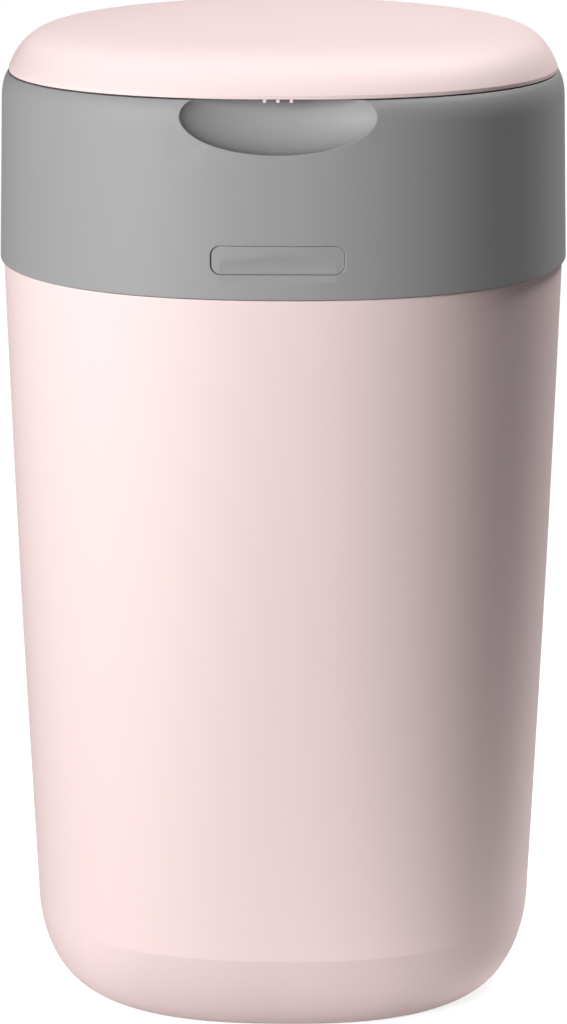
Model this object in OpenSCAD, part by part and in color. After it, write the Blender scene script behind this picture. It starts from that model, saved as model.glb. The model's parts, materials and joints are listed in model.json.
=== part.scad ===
// Nappy disposal bin: a tapered tub, a tipping head that holds the film cassette, and a hinged lid.
// Sizes are in millimetres. Z is up, the front faces -Y, and the base stands on Z = 0.

/* [Overall] */
// Width across the lower edge of the collar
body_w = 245; // [236:1:270]
// Depth from front to back across the lower edge of the collar
body_d = 225; // [222:1:245]
// Height of the seam between the tub and the head
tub_h = 330; // [260:1:380]
// Height of the collar, from the seam up to the lid line
collar_h = 80; // [74:1:110]
// Squareness of the plan outline at the head, where 2 is an ellipse
outline_top = 2.3; // [2.2:0.05:2.8]
// Squareness of the plan outline at the base
outline_base = 2.5; // [2.2:0.05:3]

/* [Tub] */
// Thickness of the tub's wall
tub_wall = 2.8; // [2.2:0.1:3.6]
// Thickness of the tub's floor
tub_floor = 3; // [2:0.5:5]
// How far the tub's side stands in from the collar's lower edge
tub_step = 1.5; // [1:0.1:2.5]
// How far each side draws in from the seam down to the crease
tub_taper = 9.1; // [5:0.1:14]
// Outward bow of the side, halfway up
tub_belly = 0.6; // [0:0.1:1.2]
// Height of the crease where the rounded base begins
crease_h = 41; // [30:1:60]
// How far the rounded base draws in below the crease
foot_inset = 22.6; // [14:0.2:28]
// Height of the spigot that locates the head on the tub
spigot_h = 8; // [5:0.5:10]
// Gap all round between the spigot and the collar
spigot_gap = 0.6; // [0.5:0.1:1]
// Gap between the collar's lower edge and the tub's shoulder
seam_gap = 0.4; // [0.3:0.1:1]

/* [Collar] */
// Thickness of the collar's wall
collar_wall = 3; // [2.4:0.1:3.6]
// How far the collar's side leans in, up to its shoulder
collar_draft = 2.1; // [1:0.1:3]
// Height of the rounded shoulder
shoulder_h = 12; // [8:0.5:16]
// How far the shoulder rounds in at the lid line
shoulder_in = 4.4; // [3:0.1:5]
// Width of the flat rim on top of the collar
rim_w = 3.8; // [3:0.1:4.5]
// Gap between the collar's rim and the closed lid
lid_gap = 0.6; // [0.4:0.1:1]
// Width of the ledge that carries the deck
ledge_w = 5.5; // [4.5:0.5:7]
// Thickness of the ledge at its edge
ledge_t = 3; // [2:0.5:5]

/* [Finger scoop] */
// Width of the scoop under the lid's front edge
scoop_w = 82; // [60:1:92]
// Height of the whole oval that the scoop is cut from
scoop_h = 31.4; // [24:0.2:34]
// Depth of the scoop
scoop_depth = 13; // [9:0.5:14]
// Distance from the lid line down to the scoop's widest place
scoop_drop = 6; // [4:0.5:8]
// Wall behind the scoop
scoop_wall = 2.4; // [1.6:0.1:2.8]

/* [Badge panel] */
// Width of the badge recess
badge_w = 54; // [30:1:70]
// Height of the badge recess
badge_h = 11.7; // [9:0.1:16]
// Corner radius of the badge recess
badge_r = 4; // [2:0.5:4.5]
// Height of the recess's middle above the collar's lower edge
badge_rise = 16; // [12:1:24]
// Depth of the badge recess
badge_depth = 1.6; // [1.4:0.1:1.8]
// How far the panel's face stays below the collar's face
badge_inset = 0.8; // [0.3:0.05:0.9]
// Gap round the badge panel
badge_gap = 0.15; // [0.1:0.05:0.4]

/* [Deck] */
// Depth of the deck below the lid line
deck_drop = 6; // [5.5:0.5:8]
// Thickness of the deck
deck_t = 3; // [2.5:0.5:4]
// Gap between the deck's edge and the collar
deck_gap = 0.3; // [0.2:0.1:0.6]
// Width of the raised bezel round the well
bezel_w = 3; // [2:0.5:4]
// Height of the raised bezel
bezel_h = 1; // [0.5:0.1:1.5]

/* [Cassette] */
// Outer radius of the film cassette
cassette_r = 78; // [74:0.5:80]
// Height of the film cassette without its cap
cassette_h = 50; // [40:1:56]
// Radius of the hole through the cassette
cassette_bore_r = 50; // [46:0.5:54]
// Wall of the cassette
cassette_wall = 1.6; // [1.2:0.1:2]
// Thickness of the cassette's cap ring
cap_t = 1.6; // [1.2:0.1:2.4]
// Width of the slot that the film comes out of
film_slot = 3; // [2:0.5:5]
// Number of folds in the film pack
film_folds = 14; // [8:1:20]

/* [Carrier and well] */
// Gap between the cassette and its rotating carrier
cassette_gap = 0.4; // [0.2:0.1:0.8]
// Wall and floor of the carrier
carrier_wall = 2.2; // [1.8:0.1:2.6]
// Gap between the carrier and the fixed well
carrier_gap = 0.5; // [0.3:0.1:0.8]
// Wall of the fixed well
well_wall = 2.4; // [2:0.1:3]
// Floor of the fixed well
well_floor = 3; // [2.5:0.5:4]
// Radius of the hole in the floor of the well
well_bore_r = 52; // [50:0.5:55]
// Radius of the throat through the twist ring
throat_r = 46; // [42:0.5:47]
// Thickness of the twist ring's web
ring_web = 3; // [2:0.5:4]
// Height of the grip fins above the web
fin_h = 9; // [6:0.5:9.5]
// Number of grip fins
fin_count = 6; // [4:1:8]
// Thickness of one grip fin
fin_t = 6; // [4:0.5:8]

/* [Click detent] */
// Number of teeth under the carrier, a multiple of four
tooth_count = 36; // [24:12:48]
// Height of one tooth
tooth_h = 1.2; // [0.8:0.1:1.6]
// Width of one tooth at its flat top
tooth_land = 4.5; // [3:0.5:5]
// Radius of the sprung plunger
plunger_r = 2.8; // [2:0.1:3]
// Travel of the plunger when it is pressed down
plunger_travel = 1; // [0.5:0.1:1.5]
// Wire diameter of the detent spring
spring_wire = 0.8; // [0.6:0.1:1]
// Turns of the detent spring
spring_turns = 5; // [4:1:6]

/* [Clutch] */
// Number of spring fingers below the well
finger_count = 12; // [8:1:14]
// Thickness of a spring finger
finger_t = 1.6; // [1.2:0.1:2]
// Radius of the closed opening between the finger tips
finger_tip_r = 18; // [12:1:26]
// Drop of the finger tips below the clutch ring
finger_drop = 24; // [16:1:32]

/* [Cutter] */
// Length of the cutter's guide
guide_l = 52; // [44:1:54]
// Width of the guide
guide_w = 9; // [8:0.5:10]
// Height of the guide
guide_h = 12; // [10:0.5:14]
// Length of the sliding cutter block
slider_l = 14; // [10:1:16]
// Length of blade that stands out in front of the block
blade_out = 5; // [3:0.5:7]

/* [Lid] */
// Height of the straight band round the lid's lower edge
lid_band = 1.5; // [1:0.1:3]
// Height of the dome above the band
lid_dome = 21.2; // [16:0.2:26]
// Wall of the lid
lid_wall = 2.5; // [2:0.1:3]
// How far the lid's side stands in from the collar's rim
lid_in = 0.3; // [0.1:0.1:1.6]
// Thickness of the inner panel
liner_t = 2; // [1.6:0.1:2.4]
// Width of the rubber seal
seal_w = 3.5; // [2.5:0.5:4]
// Number of ribs on the lid's pull tongue
nub_count = 3; // [1:1:5]
// Distance between those ribs
nub_pitch = 5.3; // [4:0.1:6]

/* [Hinges and screws] */
// Overall length of the head's hinge
head_hinge_l = 60; // [48:1:64]
// Radius of the head hinge's knuckles
head_knuckle_r = 3.4; // [3:0.1:3.6]
// Overall length of the lid's hinge
lid_hinge_l = 50; // [40:1:56]
// Radius of the lid hinge's knuckles
lid_knuckle_r = 3; // [2.8:0.1:3.2]
// Radius of both hinge pins
pin_r = 1.5; // [1.2:0.1:1.7]
// Running clearance round a pin or plunger
run_gap = 0.06; // [0.03:0.01:0.09]
// Radius of a screw's shank
screw_r = 1.5; // [1.2:0.1:1.7]
// Radius of a screw's head
screw_head_r = 3; // [2.6:0.1:3.4]

/* [Hidden] */
$fn = 64;
sides = 80;

// Plan outline: the half-depth is always this much less than the half-width.
half_w = body_w / 2;
flat = (body_w - body_d) / 2;
cut = 1;

// Levels of the head, from the lid line down.
lid_z = tub_h + collar_h;
rim_z = lid_z - lid_gap;
shoulder_z = lid_z - shoulder_h;
deck_z1 = lid_z - deck_drop;
deck_z0 = deck_z1 - deck_t;
ring_drop = 5;
seat_z = deck_z0 - ring_drop;
cassette_clear = 3;
cassette_z1 = seat_z - cassette_clear - cap_t;
cassette_z0 = cassette_z1 - cassette_h;
carrier_z0 = cassette_z0 - carrier_wall;
bead_h = 2.4;
bead_gap = 0.1;
well_z1 = carrier_z0 - bead_h - bead_gap;
well_z0 = well_z1 - well_floor;

// Collar profile.
rim_angle = asin((rim_z - shoulder_z) / shoulder_h);
rim_hw = half_w - collar_draft - shoulder_in * (1 - cos(rim_angle));
well_hw = rim_hw - rim_w;
ledge_hw = well_hw - ledge_w;
collar_in_hw = half_w - collar_wall;

// Tub profile.
crease_hw = half_w - tub_step - tub_taper;
tub_top = tub_h - seam_gap;
spigot_hw = collar_in_hw - spigot_gap;
base_steps = 6;

// Radii of the well, from the cassette out.
carrier_in_r = cassette_r + cassette_gap;
carrier_r = carrier_in_r + carrier_wall;
well_in_r = carrier_r + carrier_gap;
well_r = well_in_r + well_wall;
flange_w = 8;
flange_r = well_r + flange_w;
flange_t = 3;

// Clutch ring under the floor of the well.
clutch_t = 3;
clutch_in_r = well_bore_r - 2;
clutch_r = well_bore_r + 12;
clutch_z0 = well_z0 - clutch_t;

// Detent: teeth on the carrier's underside and a plunger under the floor of the well.
tooth_in_r = clutch_r + 2;
tooth_out_r = tooth_in_r + 8;
detent_r = (tooth_in_r + tooth_out_r) / 2;
detent_angle = 30;
crest_z = carrier_z0 - tooth_h;
crest_gap = 0.1;
plunger_z1 = crest_z - crest_gap;
shoulder_r = plunger_r + 1.1;
chamber_r = shoulder_r + 0.15;
boss_r = chamber_r + 1.6;
chamber_z1 = well_z0 - 1;
plunger_shoulder_z1 = chamber_z1 - tooth_h - 0.2;
plunger_shoulder_t = 2;
spring_z1 = plunger_shoulder_z1 - plunger_shoulder_t;
spring_l = 9;
spring_z0 = spring_z1 - spring_l;
cap_l = 3;
boss_z0 = spring_z0 - cap_l;
stem_r = plunger_r - 1.3;
spring_r = (shoulder_r + stem_r) / 2;
stem_z0 = spring_z0 + plunger_travel + 2;

// Cutter beside the clutch ring, at the front.
guide_y1 = -(clutch_r + 3);
guide_y0 = guide_y1 - guide_w;
guide_y = (guide_y0 + guide_y1) / 2;
guide_z0 = well_z0 - guide_h;
guide_end = 2 * screw_head_r + 1;
channel_l = guide_l - 2 * guide_end;
channel_w = guide_w - 3.4;
channel_z1 = well_z0 - 2.4;
channel_z0 = guide_z0 + 3;
neck_w = 3;
slide_gap = 0.2;
slider_x = -channel_l / 2 + slide_gap;
thumb_h = 5;

// Finger scoop, an oval hollow centred on the collar's front face.
scoop_z = lid_z - scoop_drop;
scoop_y = -(collar_hw(scoop_z) - flat);
cup_z0 = tub_h + 30;
cup_in = 0.5;
badge_z = tub_h + badge_rise;
plate_l = 15;

// Lid.
lid_hw = rim_hw - lid_in;
lid_in_hw = lid_hw - lid_wall;
dome_z = lid_z + lid_band;
dome_roll = 20;
crown_part = 0.38;
dome_back = 45;
dome_steps = concat([for (k = [0:12:84]) pow(cos(k), 2 / dome_roll)], [0.68, 0.52, 0.36, 0.2]);
liner_z0 = lid_z + 1.2;
liner_z1 = liner_z0 + liner_t;
liner_hw = lid_in_hw - 1.5;
liner_rib = 0.8;
lid_boss_at = 0.6;
lid_boss_r = 4;
seal_gap = 0.4;
seal_hw = -scoop_y - scoop_depth - scoop_wall - 1 + flat;
nub_w = 1.3;
nub_h = 1.2;
tongue_drop = 0.2;
tongue_y0 = -(liner_hw - flat) + 0.2;
tongue_y1 = scoop_y + scoop_depth - 2.2;
tongue_w = 30;

// Hinges at the rear.
hinge_gap = 0.3;
notch_gap = 0.4;
head_axis_y = body_d / 2 + 1.6;
head_axis_z = tub_h;
head_leaf = head_hinge_l / 6;
lid_hinge_in = 0.2;
lid_axis_y = rim_hw - flat + lid_knuckle_r - lid_hinge_in;
lid_axis_z = lid_z;
lid_leaf = lid_hinge_l / 5.5;

// Screws.
head_t = 1.6;
screw_fit = 0.05;
deck_screw_l = 13;
deck_boss_r = 4.5;
deck_boss_l = 15;
deck_screw_angles = [0, 50, 130, 180, 230, 310];
well_screw_angles = [0, 60, 120, 180, 240, 300];
clutch_screw_angles = [45, 135, 225, 315];
guide_screw_x = guide_l / 2 - guide_end / 2;
lid_screw_l = 8;

// Lugs that drive the carrier from the twist ring.
lug_w = 10;
lug_h = 4;
lug_gap = 0.3;

// ---------- Shapes used by several pieces ----------

// Half-width of the collar's outer face at height z.
function collar_hw(z) =
    z <= shoulder_z
        ? half_w - collar_draft * (z - tub_h) / (shoulder_z - tub_h)
        : half_w - collar_draft
            - shoulder_in * (1 - sqrt(1 - pow((z - shoulder_z) / shoulder_h, 2)));

// Half-width of the tub's side, with t from 0 at the crease to 1 at the seam.
function side_hw(t) = crease_hw + tub_taper * t + tub_belly * sin(180 * t);
function side_z(t) = crease_h + (tub_top - crease_h) * t;
function squareness(z) = outline_base + (outline_top - outline_base) * z / tub_h;

// Height of the dome above its band, as a share of its rise, at a share s of the plan outline:
// a border that rolls over, and a shallow crown.
function dome_share(s) = (1 - crown_part) * (1 - pow(s, dome_roll)) + crown_part * (1 - s * s);

function signed_pow(v, n) = sign(v) * pow(abs(v), 2 / n);

// One closed ring of the rounded-square outline, at height z.
function section(hw, z, n = outline_top, s = 1) =
    [for (i = [0:sides - 1]) let (a = 360 * i / sides)
        [s * hw * signed_pow(cos(a), n), s * (hw - flat) * signed_pow(sin(a), n), z]];

// One ring of the tub's rounded base, at an angle a round its curve.
function foot_ring(a, floor_z, inset) =
    let (z = floor_z + (crease_h - floor_z) * (1 - cos(a)))
        section(crease_hw - inset - foot_inset * (1 - sin(a)), z, squareness(z));

// A place on the outline, at angle a.
function on_outline(hw, a, n = outline_top, s = 1) =
    [s * hw * signed_pow(cos(a), n), s * (hw - flat) * signed_pow(sin(a), n)];

// Outline of a bar from the origin along X, with half-round ends of radius r.
function bar_outline(l, r) = concat(
    [for (a = [-90:15:90]) [l + r * cos(a), r * sin(a)]],
    [for (a = [90:15:270]) [r * cos(a), r * sin(a)]]);

// Depth of the outline's rear face at a distance x from the middle.
function rear_y(hw, x, n = outline_top) = (hw - flat) * pow(1 - pow(x / hw, n), 1 / n);

// Skin over a stack of rings: either a capped solid or an endless loop of wall.
module loft(rings, loop = false) {
    count = len(rings);
    around = len(rings[0]);
    last = loop ? count - 1 : count - 2;
    skin = [for (i = [0:last], j = [0:around - 1])
        let (k = (i + 1) % count, l = (j + 1) % around)
            each [[i * around + j, k * around + j, k * around + l],
                  [i * around + j, k * around + l, i * around + l]]];
    bottom = [for (j = [0:around - 1]) j];
    top = [for (j = [around - 1:-1:0]) (count - 1) * around + j];
    polyhedron(points = [for (r = rings) each r],
               faces = loop ? skin : concat(skin, [bottom, top]), convexity = 8);
}

// Ring of rectangular section, turned about Z.
module turned_ring(r0, r1, z0, z1) {
    rotate_extrude($fn = 96) translate([r0, z0]) square([r1 - r0, z1 - z0]);
}

// A cylinder along X, centred on a hinge axis.
module along_x(x, l, r, y, z) {
    translate([x, y, z]) rotate([0, 90, 0]) cylinder(h = l, r = r);
}

// A strip of constant side profile, given as [y, z] points.
module side_strip(x, l, profile) {
    translate([x, 0, 0]) rotate([90, 0, 90]) linear_extrude(l) polygon(profile);
}

// The oval that the scoop is cut from, grown by g.
module scoop_oval(g = 0) {
    steps = 10;
    rings = [for (k = [0:steps]) let (a = -84 + 168 * k / steps)
        [for (i = [0:35]) let (b = 10 * i)
            [(scoop_w / 2 + g) * cos(a) * cos(b),
             scoop_y + (scoop_depth + g) * cos(a) * sin(b),
             scoop_z + (scoop_h / 2 + g) * sin(a)]]];
    loft(rings);
}

// The collar's straight side as a solid, drawn in by g.
module collar_core(g) {
    loft([section(half_w - g, tub_h - cut), section(collar_hw(shoulder_z) - g, shoulder_z)]);
}

// A flat plate with round corners, standing across the front.
module badge_plate(w, h, r) {
    translate([0, plate_l - body_d / 2, badge_z]) rotate([90, 0, 0]) linear_extrude(plate_l + cut) {
        square([w - 2 * r, h], center = true);
        square([w, h - 2 * r], center = true);
        for (x = [-1, 1], y = [-1, 1])
            translate([x * (w / 2 - r), y * (h / 2 - r)]) circle(r, $fn = 32);
    }
}

// A screw pointing down, with the underside of its head at z = 0.
module screw(l) {
    difference() {
        union() {
            cylinder(h = head_t, r = screw_head_r, $fn = 32);
            translate([0, 0, -l]) cylinder(h = l + cut, r = screw_r, $fn = 32);
        }
        for (a = [0, 90])
            rotate(a) translate([-screw_head_r * 0.6, -0.4, head_t - 0.8])
                cube([screw_head_r * 1.2, 0.8, cut]);
    }
}

// The hole for such a screw: its shank, and above z = 0 the room for its head.
module screw_hole(l) {
    cylinder(h = head_t + cut, r = screw_head_r + 0.2, $fn = 32);
    translate([0, 0, -l - 0.3]) cylinder(h = l + cut, r = screw_r + screw_fit, $fn = 32);
}

module at_deck_screws() {
    for (a = deck_screw_angles)
        translate(concat(on_outline(ledge_hw, a), [deck_z1 - head_t])) children();
}

module at_well_screws() {
    for (a = well_screw_angles)
        rotate(a) translate([well_r + flange_w / 2, 0, deck_z0 - flange_t]) mirror([0, 0, 1]) children();
}

module at_clutch_screws() {
    for (a = clutch_screw_angles)
        rotate(a) translate([(clutch_in_r + clutch_r) / 2, 0, clutch_z0 + head_t])
            mirror([0, 0, 1]) children();
}

module at_guide_screws() {
    for (s = [-1, 1])
        translate([s * guide_screw_x, guide_y, guide_z0 + head_t]) mirror([0, 0, 1]) children();
}

module at_lid_screws() {
    for (a = deck_screw_angles)
        translate(concat(on_outline(lid_hw, a, s = lid_boss_at), [liner_z0 + head_t - 0.4]))
            mirror([0, 0, 1]) children();
}

module at_detent() {
    rotate(detent_angle) translate([detent_r, 0, 0]) children();
}

// ---------- Tub ----------

module tub() color([0.95, 0.86, 0.85]) {
    root_y = rear_y(side_hw(1) - tub_wall / 2, head_hinge_l / 2);
    knuckle = head_leaf;
    low_z = tub_top - 5 * head_knuckle_r;
    difference() {
        union() {
            loft(concat(
                [for (k = [0:base_steps]) foot_ring(90 * k / base_steps, 0, 0)],
                [for (t = [0.25, 0.5, 0.75, 1])
                    section(side_hw(t), side_z(t), squareness(side_z(t)))],
                [section(spigot_hw, tub_top),
                 section(spigot_hw, tub_h + spigot_h),
                 section(spigot_hw - tub_wall, tub_h + spigot_h),
                 section(spigot_hw - tub_wall, tub_top - 2 * tub_wall)],
                [for (t = [0.9, 0.75, 0.5, 0.25])
                    section(side_hw(t) - tub_wall, side_z(t), squareness(side_z(t)))],
                [for (k = [base_steps:-1:0]) foot_ring(90 * k / base_steps, tub_floor, tub_wall)]));
            for (x = [-head_hinge_l / 2, head_hinge_l / 2 - knuckle]) {
                along_x(x, knuckle, head_knuckle_r, head_axis_y, head_axis_z);
                side_strip(x, knuckle, [[root_y, low_z],
                                        [head_axis_y + head_knuckle_r * 0.9, head_axis_z - 1],
                                        [root_y, head_axis_z - 1]]);
            }
        }
        along_x(-head_hinge_l, 2 * head_hinge_l, pin_r + run_gap / 3, head_axis_y, head_axis_z);
        along_x(-head_hinge_l / 2 + knuckle, head_hinge_l - 2 * knuckle, head_knuckle_r + notch_gap,
                head_axis_y, head_axis_z);
    }
}

module head_hinge_pin() color("silver") {
    along_x(-head_hinge_l / 2 + cut, head_hinge_l - 2 * cut, pin_r, head_axis_y, head_axis_z);
}

// ---------- Head: the fixed pieces ----------

module collar() color([0.63, 0.63, 0.63]) {
    ledge_drop = collar_hw(deck_z0) - collar_wall - ledge_hw;
    gusset_z = deck_z0 - ledge_t - ledge_drop;
    head_root_y = rear_y(half_w - collar_wall / 2, head_hinge_l / 2);
    leaf_x = head_hinge_l / 2 - head_leaf - hinge_gap;
    lid_root_y = rear_y(rim_hw - rim_w / 2, lid_hinge_l / 2);
    lid_leaf_x = lid_hinge_l / 2 - lid_leaf - hinge_gap;
    lid_gusset_z = lid_axis_z - 4 * lid_knuckle_r;
    difference() {
        union() {
            loft(concat(
                [section(half_w, tub_h), section(collar_hw(shoulder_z), shoulder_z)],
                [for (k = [1:5]) let (z = shoulder_z + shoulder_h * sin(rim_angle * k / 5))
                    section(collar_hw(z), z)],
                [section(well_hw, rim_z), section(well_hw, deck_z0),
                 section(ledge_hw, deck_z0), section(ledge_hw, deck_z0 - ledge_t),
                 section(collar_hw(gusset_z) - collar_wall, gusset_z),
                 section(collar_in_hw, tub_h)]), loop = true);
            intersection() {
                scoop_oval(scoop_wall);
                loft([section(collar_hw(cup_z0) - cup_in, cup_z0),
                      section(collar_hw(shoulder_z) - cup_in, shoulder_z),
                      section(rim_hw - cup_in, rim_z)]);
            }
            at_deck_screws() translate([0, 0, -deck_t + head_t - deck_boss_l])
                cylinder(h = deck_boss_l, r = deck_boss_r, $fn = 32);
            along_x(-leaf_x, 2 * leaf_x, head_knuckle_r, head_axis_y, head_axis_z);
            side_strip(-leaf_x, 2 * leaf_x,
                       [[head_root_y, head_axis_z],
                        [head_axis_y + head_knuckle_r * 0.9, head_axis_z + 1],
                        [head_root_y, head_axis_z + 5 * head_knuckle_r]]);
            along_x(-lid_leaf_x, 2 * lid_leaf_x, lid_knuckle_r, lid_axis_y, lid_axis_z);
            side_strip(-lid_leaf_x, 2 * lid_leaf_x,
                       [[lid_root_y, lid_gusset_z], [lid_axis_y + lid_knuckle_r * 0.9, lid_axis_z - 1],
                        [lid_axis_y - 1, rim_z], [lid_root_y, rim_z]]);
        }
        scoop_oval();
        difference() {
            badge_plate(badge_w, badge_h, badge_r);
            collar_core(badge_depth);
        }
        at_deck_screws() screw_hole(deck_screw_l);
        along_x(-head_hinge_l, 2 * head_hinge_l, pin_r + run_gap, head_axis_y, head_axis_z);
        for (x = [-head_hinge_l / 2 - hinge_gap, head_hinge_l / 2 - head_leaf - hinge_gap])
            along_x(x, head_leaf + 2 * hinge_gap, head_knuckle_r + notch_gap, head_axis_y, head_axis_z);
        along_x(-lid_hinge_l, 2 * lid_hinge_l, pin_r + run_gap / 3, lid_axis_y, lid_axis_z);
        for (x = [-lid_hinge_l / 2 - hinge_gap, lid_hinge_l / 2 - lid_leaf - hinge_gap])
            along_x(x, lid_leaf + 2 * hinge_gap, lid_knuckle_r + notch_gap, lid_axis_y, lid_axis_z);
    }
}

module badge_panel() color([0.6, 0.6, 0.6]) {
    intersection() {
        badge_plate(badge_w - 2 * badge_gap, badge_h - 2 * badge_gap, badge_r - badge_gap);
        difference() {
            collar_core(badge_inset);
            collar_core(badge_depth);
        }
    }
}

module deck() color([0.7, 0.7, 0.71]) {
    difference() {
        union() {
            translate([0, 0, deck_z0]) linear_extrude(deck_t)
                polygon([for (p = section(well_hw - deck_gap, 0)) [p[0], p[1]]]);
            turned_ring(well_in_r - cut, well_in_r + bezel_w, deck_z0, deck_z1 + bezel_h);
        }
        translate([0, 0, deck_z0 - cut]) cylinder(h = deck_t + 2 * cut + bezel_h, r = well_in_r, $fn = 96);
        at_deck_screws() screw_hole(deck_screw_l);
        at_well_screws() screw_hole(flange_t + deck_t - 1);
        scoop_oval(scoop_wall + deck_gap);
    }
}

module deck_screws() color("silver") {
    at_deck_screws() screw(deck_screw_l);
}

module cassette_well() color([0.78, 0.78, 0.79]) {
    difference() {
        union() {
            rotate_extrude($fn = 96) polygon([
                [well_bore_r, well_z0], [well_r, well_z0], [well_r, deck_z0 - flange_t],
                [flange_r, deck_z0 - flange_t], [flange_r, deck_z0], [well_in_r, deck_z0],
                [well_in_r, well_z1], [well_bore_r, well_z1]]);
            at_detent() translate([0, 0, boss_z0]) cylinder(h = well_z0 - boss_z0 + cut, r = boss_r);
        }
        at_detent() {
            translate([0, 0, boss_z0 - cut]) cylinder(h = chamber_z1 - boss_z0 + cut, r = chamber_r);
            translate([0, 0, boss_z0]) cylinder(h = well_z1 - boss_z0 + cut, r = plunger_r + run_gap);
        }
        at_well_screws() screw_hole(flange_t + deck_t - 1);
        at_clutch_screws() screw_hole(clutch_t + 1);
        at_guide_screws() screw_hole(guide_h + 1);
    }
}

module well_screws() color("silver") {
    at_well_screws() screw(flange_t + deck_t - 1);
}

// Ring of sprung fingers that slope in and down below the throat.
module clutch_ring() color([0.93, 0.62, 0.45]) {
    reach = clutch_in_r - finger_tip_r;
    slope = atan(finger_drop / reach);
    blade_l = norm([finger_drop, reach]);
    root_w = 2 * clutch_in_r * tan(180 / finger_count) - 2.5;
    tip_w = 2 * finger_tip_r * tan(180 / finger_count) - 2.5;
    root_in = 3;
    difference() {
        union() {
            turned_ring(clutch_in_r, clutch_r, clutch_z0, well_z0);
            for (i = [0:finger_count - 1])
                rotate(360 * (i + 0.5) / finger_count)
                    translate([clutch_in_r, 0, clutch_z0 + finger_t])
                        rotate([0, 180 - slope, 0])
                            linear_extrude(finger_t)
                                polygon([[-root_in, -root_w / 2], [blade_l, -tip_w / 2],
                                         [blade_l, tip_w / 2], [-root_in, root_w / 2]]);
        }
        at_clutch_screws() screw_hole(clutch_t + 1);
        translate([0, 0, well_z0]) cylinder(h = clutch_t * 2, r = clutch_r + cut);
    }
}

module clutch_screws() color("silver") {
    at_clutch_screws() screw(clutch_t + 1);
}

module cutter_guide() color([0.7, 0.7, 0.71]) {
    difference() {
        translate([-guide_l / 2, guide_y0, guide_z0]) cube([guide_l, guide_w, guide_h]);
        translate([-channel_l / 2, guide_y - channel_w / 2, channel_z0])
            cube([channel_l, channel_w, channel_z1 - channel_z0]);
        translate([-channel_l / 2, guide_y - neck_w / 2, guide_z0 - cut])
            cube([channel_l, neck_w, guide_h / 2]);
        at_guide_screws() screw_hole(guide_h + 1);
    }
}

module cutter_guide_screws() color("silver") {
    at_guide_screws() screw(guide_h + 1);
}

module detent_cap() color([0.5, 0.5, 0.5]) {
    at_detent() translate([0, 0, boss_z0]) cylinder(h = cap_l, r = chamber_r - screw_fit);
}

// Coil spring between the cap and the plunger's shoulder.
module detent_spring() color("silver") {
    around = 14;
    wire_sides = 6;
    total = spring_turns * around;
    wire = spring_wire / 2;
    climb = spring_l - spring_wire - 0.1;
    rings = [for (k = [0:total]) let (a = 360 * k / around, z = spring_z0 + wire + 0.05 + climb * k / total)
        [for (i = [0:wire_sides - 1]) let (b = -360 * i / wire_sides)
            [(spring_r + wire * cos(b)) * cos(a), (spring_r + wire * cos(b)) * sin(a), z + wire * sin(b)]]];
    at_detent() loft(rings);
}

module lid_hinge_pin() color("silver") {
    along_x(-lid_hinge_l / 2 + cut, lid_hinge_l - 2 * cut, pin_r, lid_axis_y, lid_axis_z);
}

// ---------- Twister: what turns with the ring ----------

module at_lugs() {
    for (a = [0:90:270]) rotate(a) children();
}

module cassette_carrier() color([0.86, 0.86, 0.87]) {
    tooth_foot = tooth_land + 2 * tooth_h;
    bead_r = (well_bore_r + tooth_in_r) / 2;
    difference() {
        union() {
            rotate_extrude($fn = 96) polygon([
                [cassette_bore_r - 1, carrier_z0], [bead_r - 2, carrier_z0],
                [bead_r - 2, well_z1 + bead_gap], [bead_r + 2, well_z1 + bead_gap],
                [bead_r + 2, carrier_z0], [carrier_r, carrier_z0], [carrier_r, seat_z],
                [carrier_in_r, seat_z], [carrier_in_r, cassette_z0], [cassette_bore_r - 1, cassette_z0]]);
            for (i = [0:tooth_count - 1])
                rotate(360 * i / tooth_count) translate([tooth_in_r, 0, carrier_z0])
                    rotate([90, 0, 90]) linear_extrude(tooth_out_r - tooth_in_r)
                        polygon([[-tooth_foot / 2, 0], [-tooth_land / 2, -tooth_h],
                                 [tooth_land / 2, -tooth_h], [tooth_foot / 2, 0],
                                 [tooth_foot / 2, cut], [-tooth_foot / 2, cut]]);
        }
        at_lugs() translate([carrier_in_r - cut, -lug_w / 2, seat_z - lug_h])
            cube([carrier_wall + 2 * cut, lug_w, lug_h + cut]);
    }
}

module twist_ring() color([0.95, 0.86, 0.85]) {
    web_z1 = seat_z + ring_web;
    skirt_z0 = cassette_z1 - 6;
    skirt_r = throat_r + 2;
    lip_z = web_z1 + 4;
    fin_r0 = throat_r + 6;
    fin_r1 = carrier_r - 5;
    rotate_extrude($fn = 96) polygon([
        [throat_r, skirt_z0], [skirt_r, skirt_z0], [skirt_r, seat_z], [carrier_r, seat_z],
        [carrier_r, web_z1 + 2], [carrier_r - 1, web_z1 + 3], [carrier_r - 2, web_z1 + 3],
        [carrier_r - 5, web_z1], [throat_r + 7, web_z1], [throat_r + 4, lip_z - 1],
        [throat_r + 3, lip_z], [throat_r + 1, lip_z], [throat_r, lip_z - 1]]);
    for (i = [0:fin_count - 1])
        rotate(360 * i / fin_count) translate([fin_r0, 0, web_z1 - cut])
            linear_extrude(fin_h + cut) polygon(bar_outline(fin_r1 - fin_r0 - fin_t / 2, fin_t / 2));
    at_lugs() intersection() {
        translate([carrier_in_r - cut, -lug_w / 2 + lug_gap, seat_z - lug_h + lug_gap])
            cube([carrier_wall + 2 * cut, lug_w - 2 * lug_gap, lug_h]);
        turned_ring(carrier_in_r, carrier_r, seat_z - lug_h, seat_z + cut);
    }
}

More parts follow.
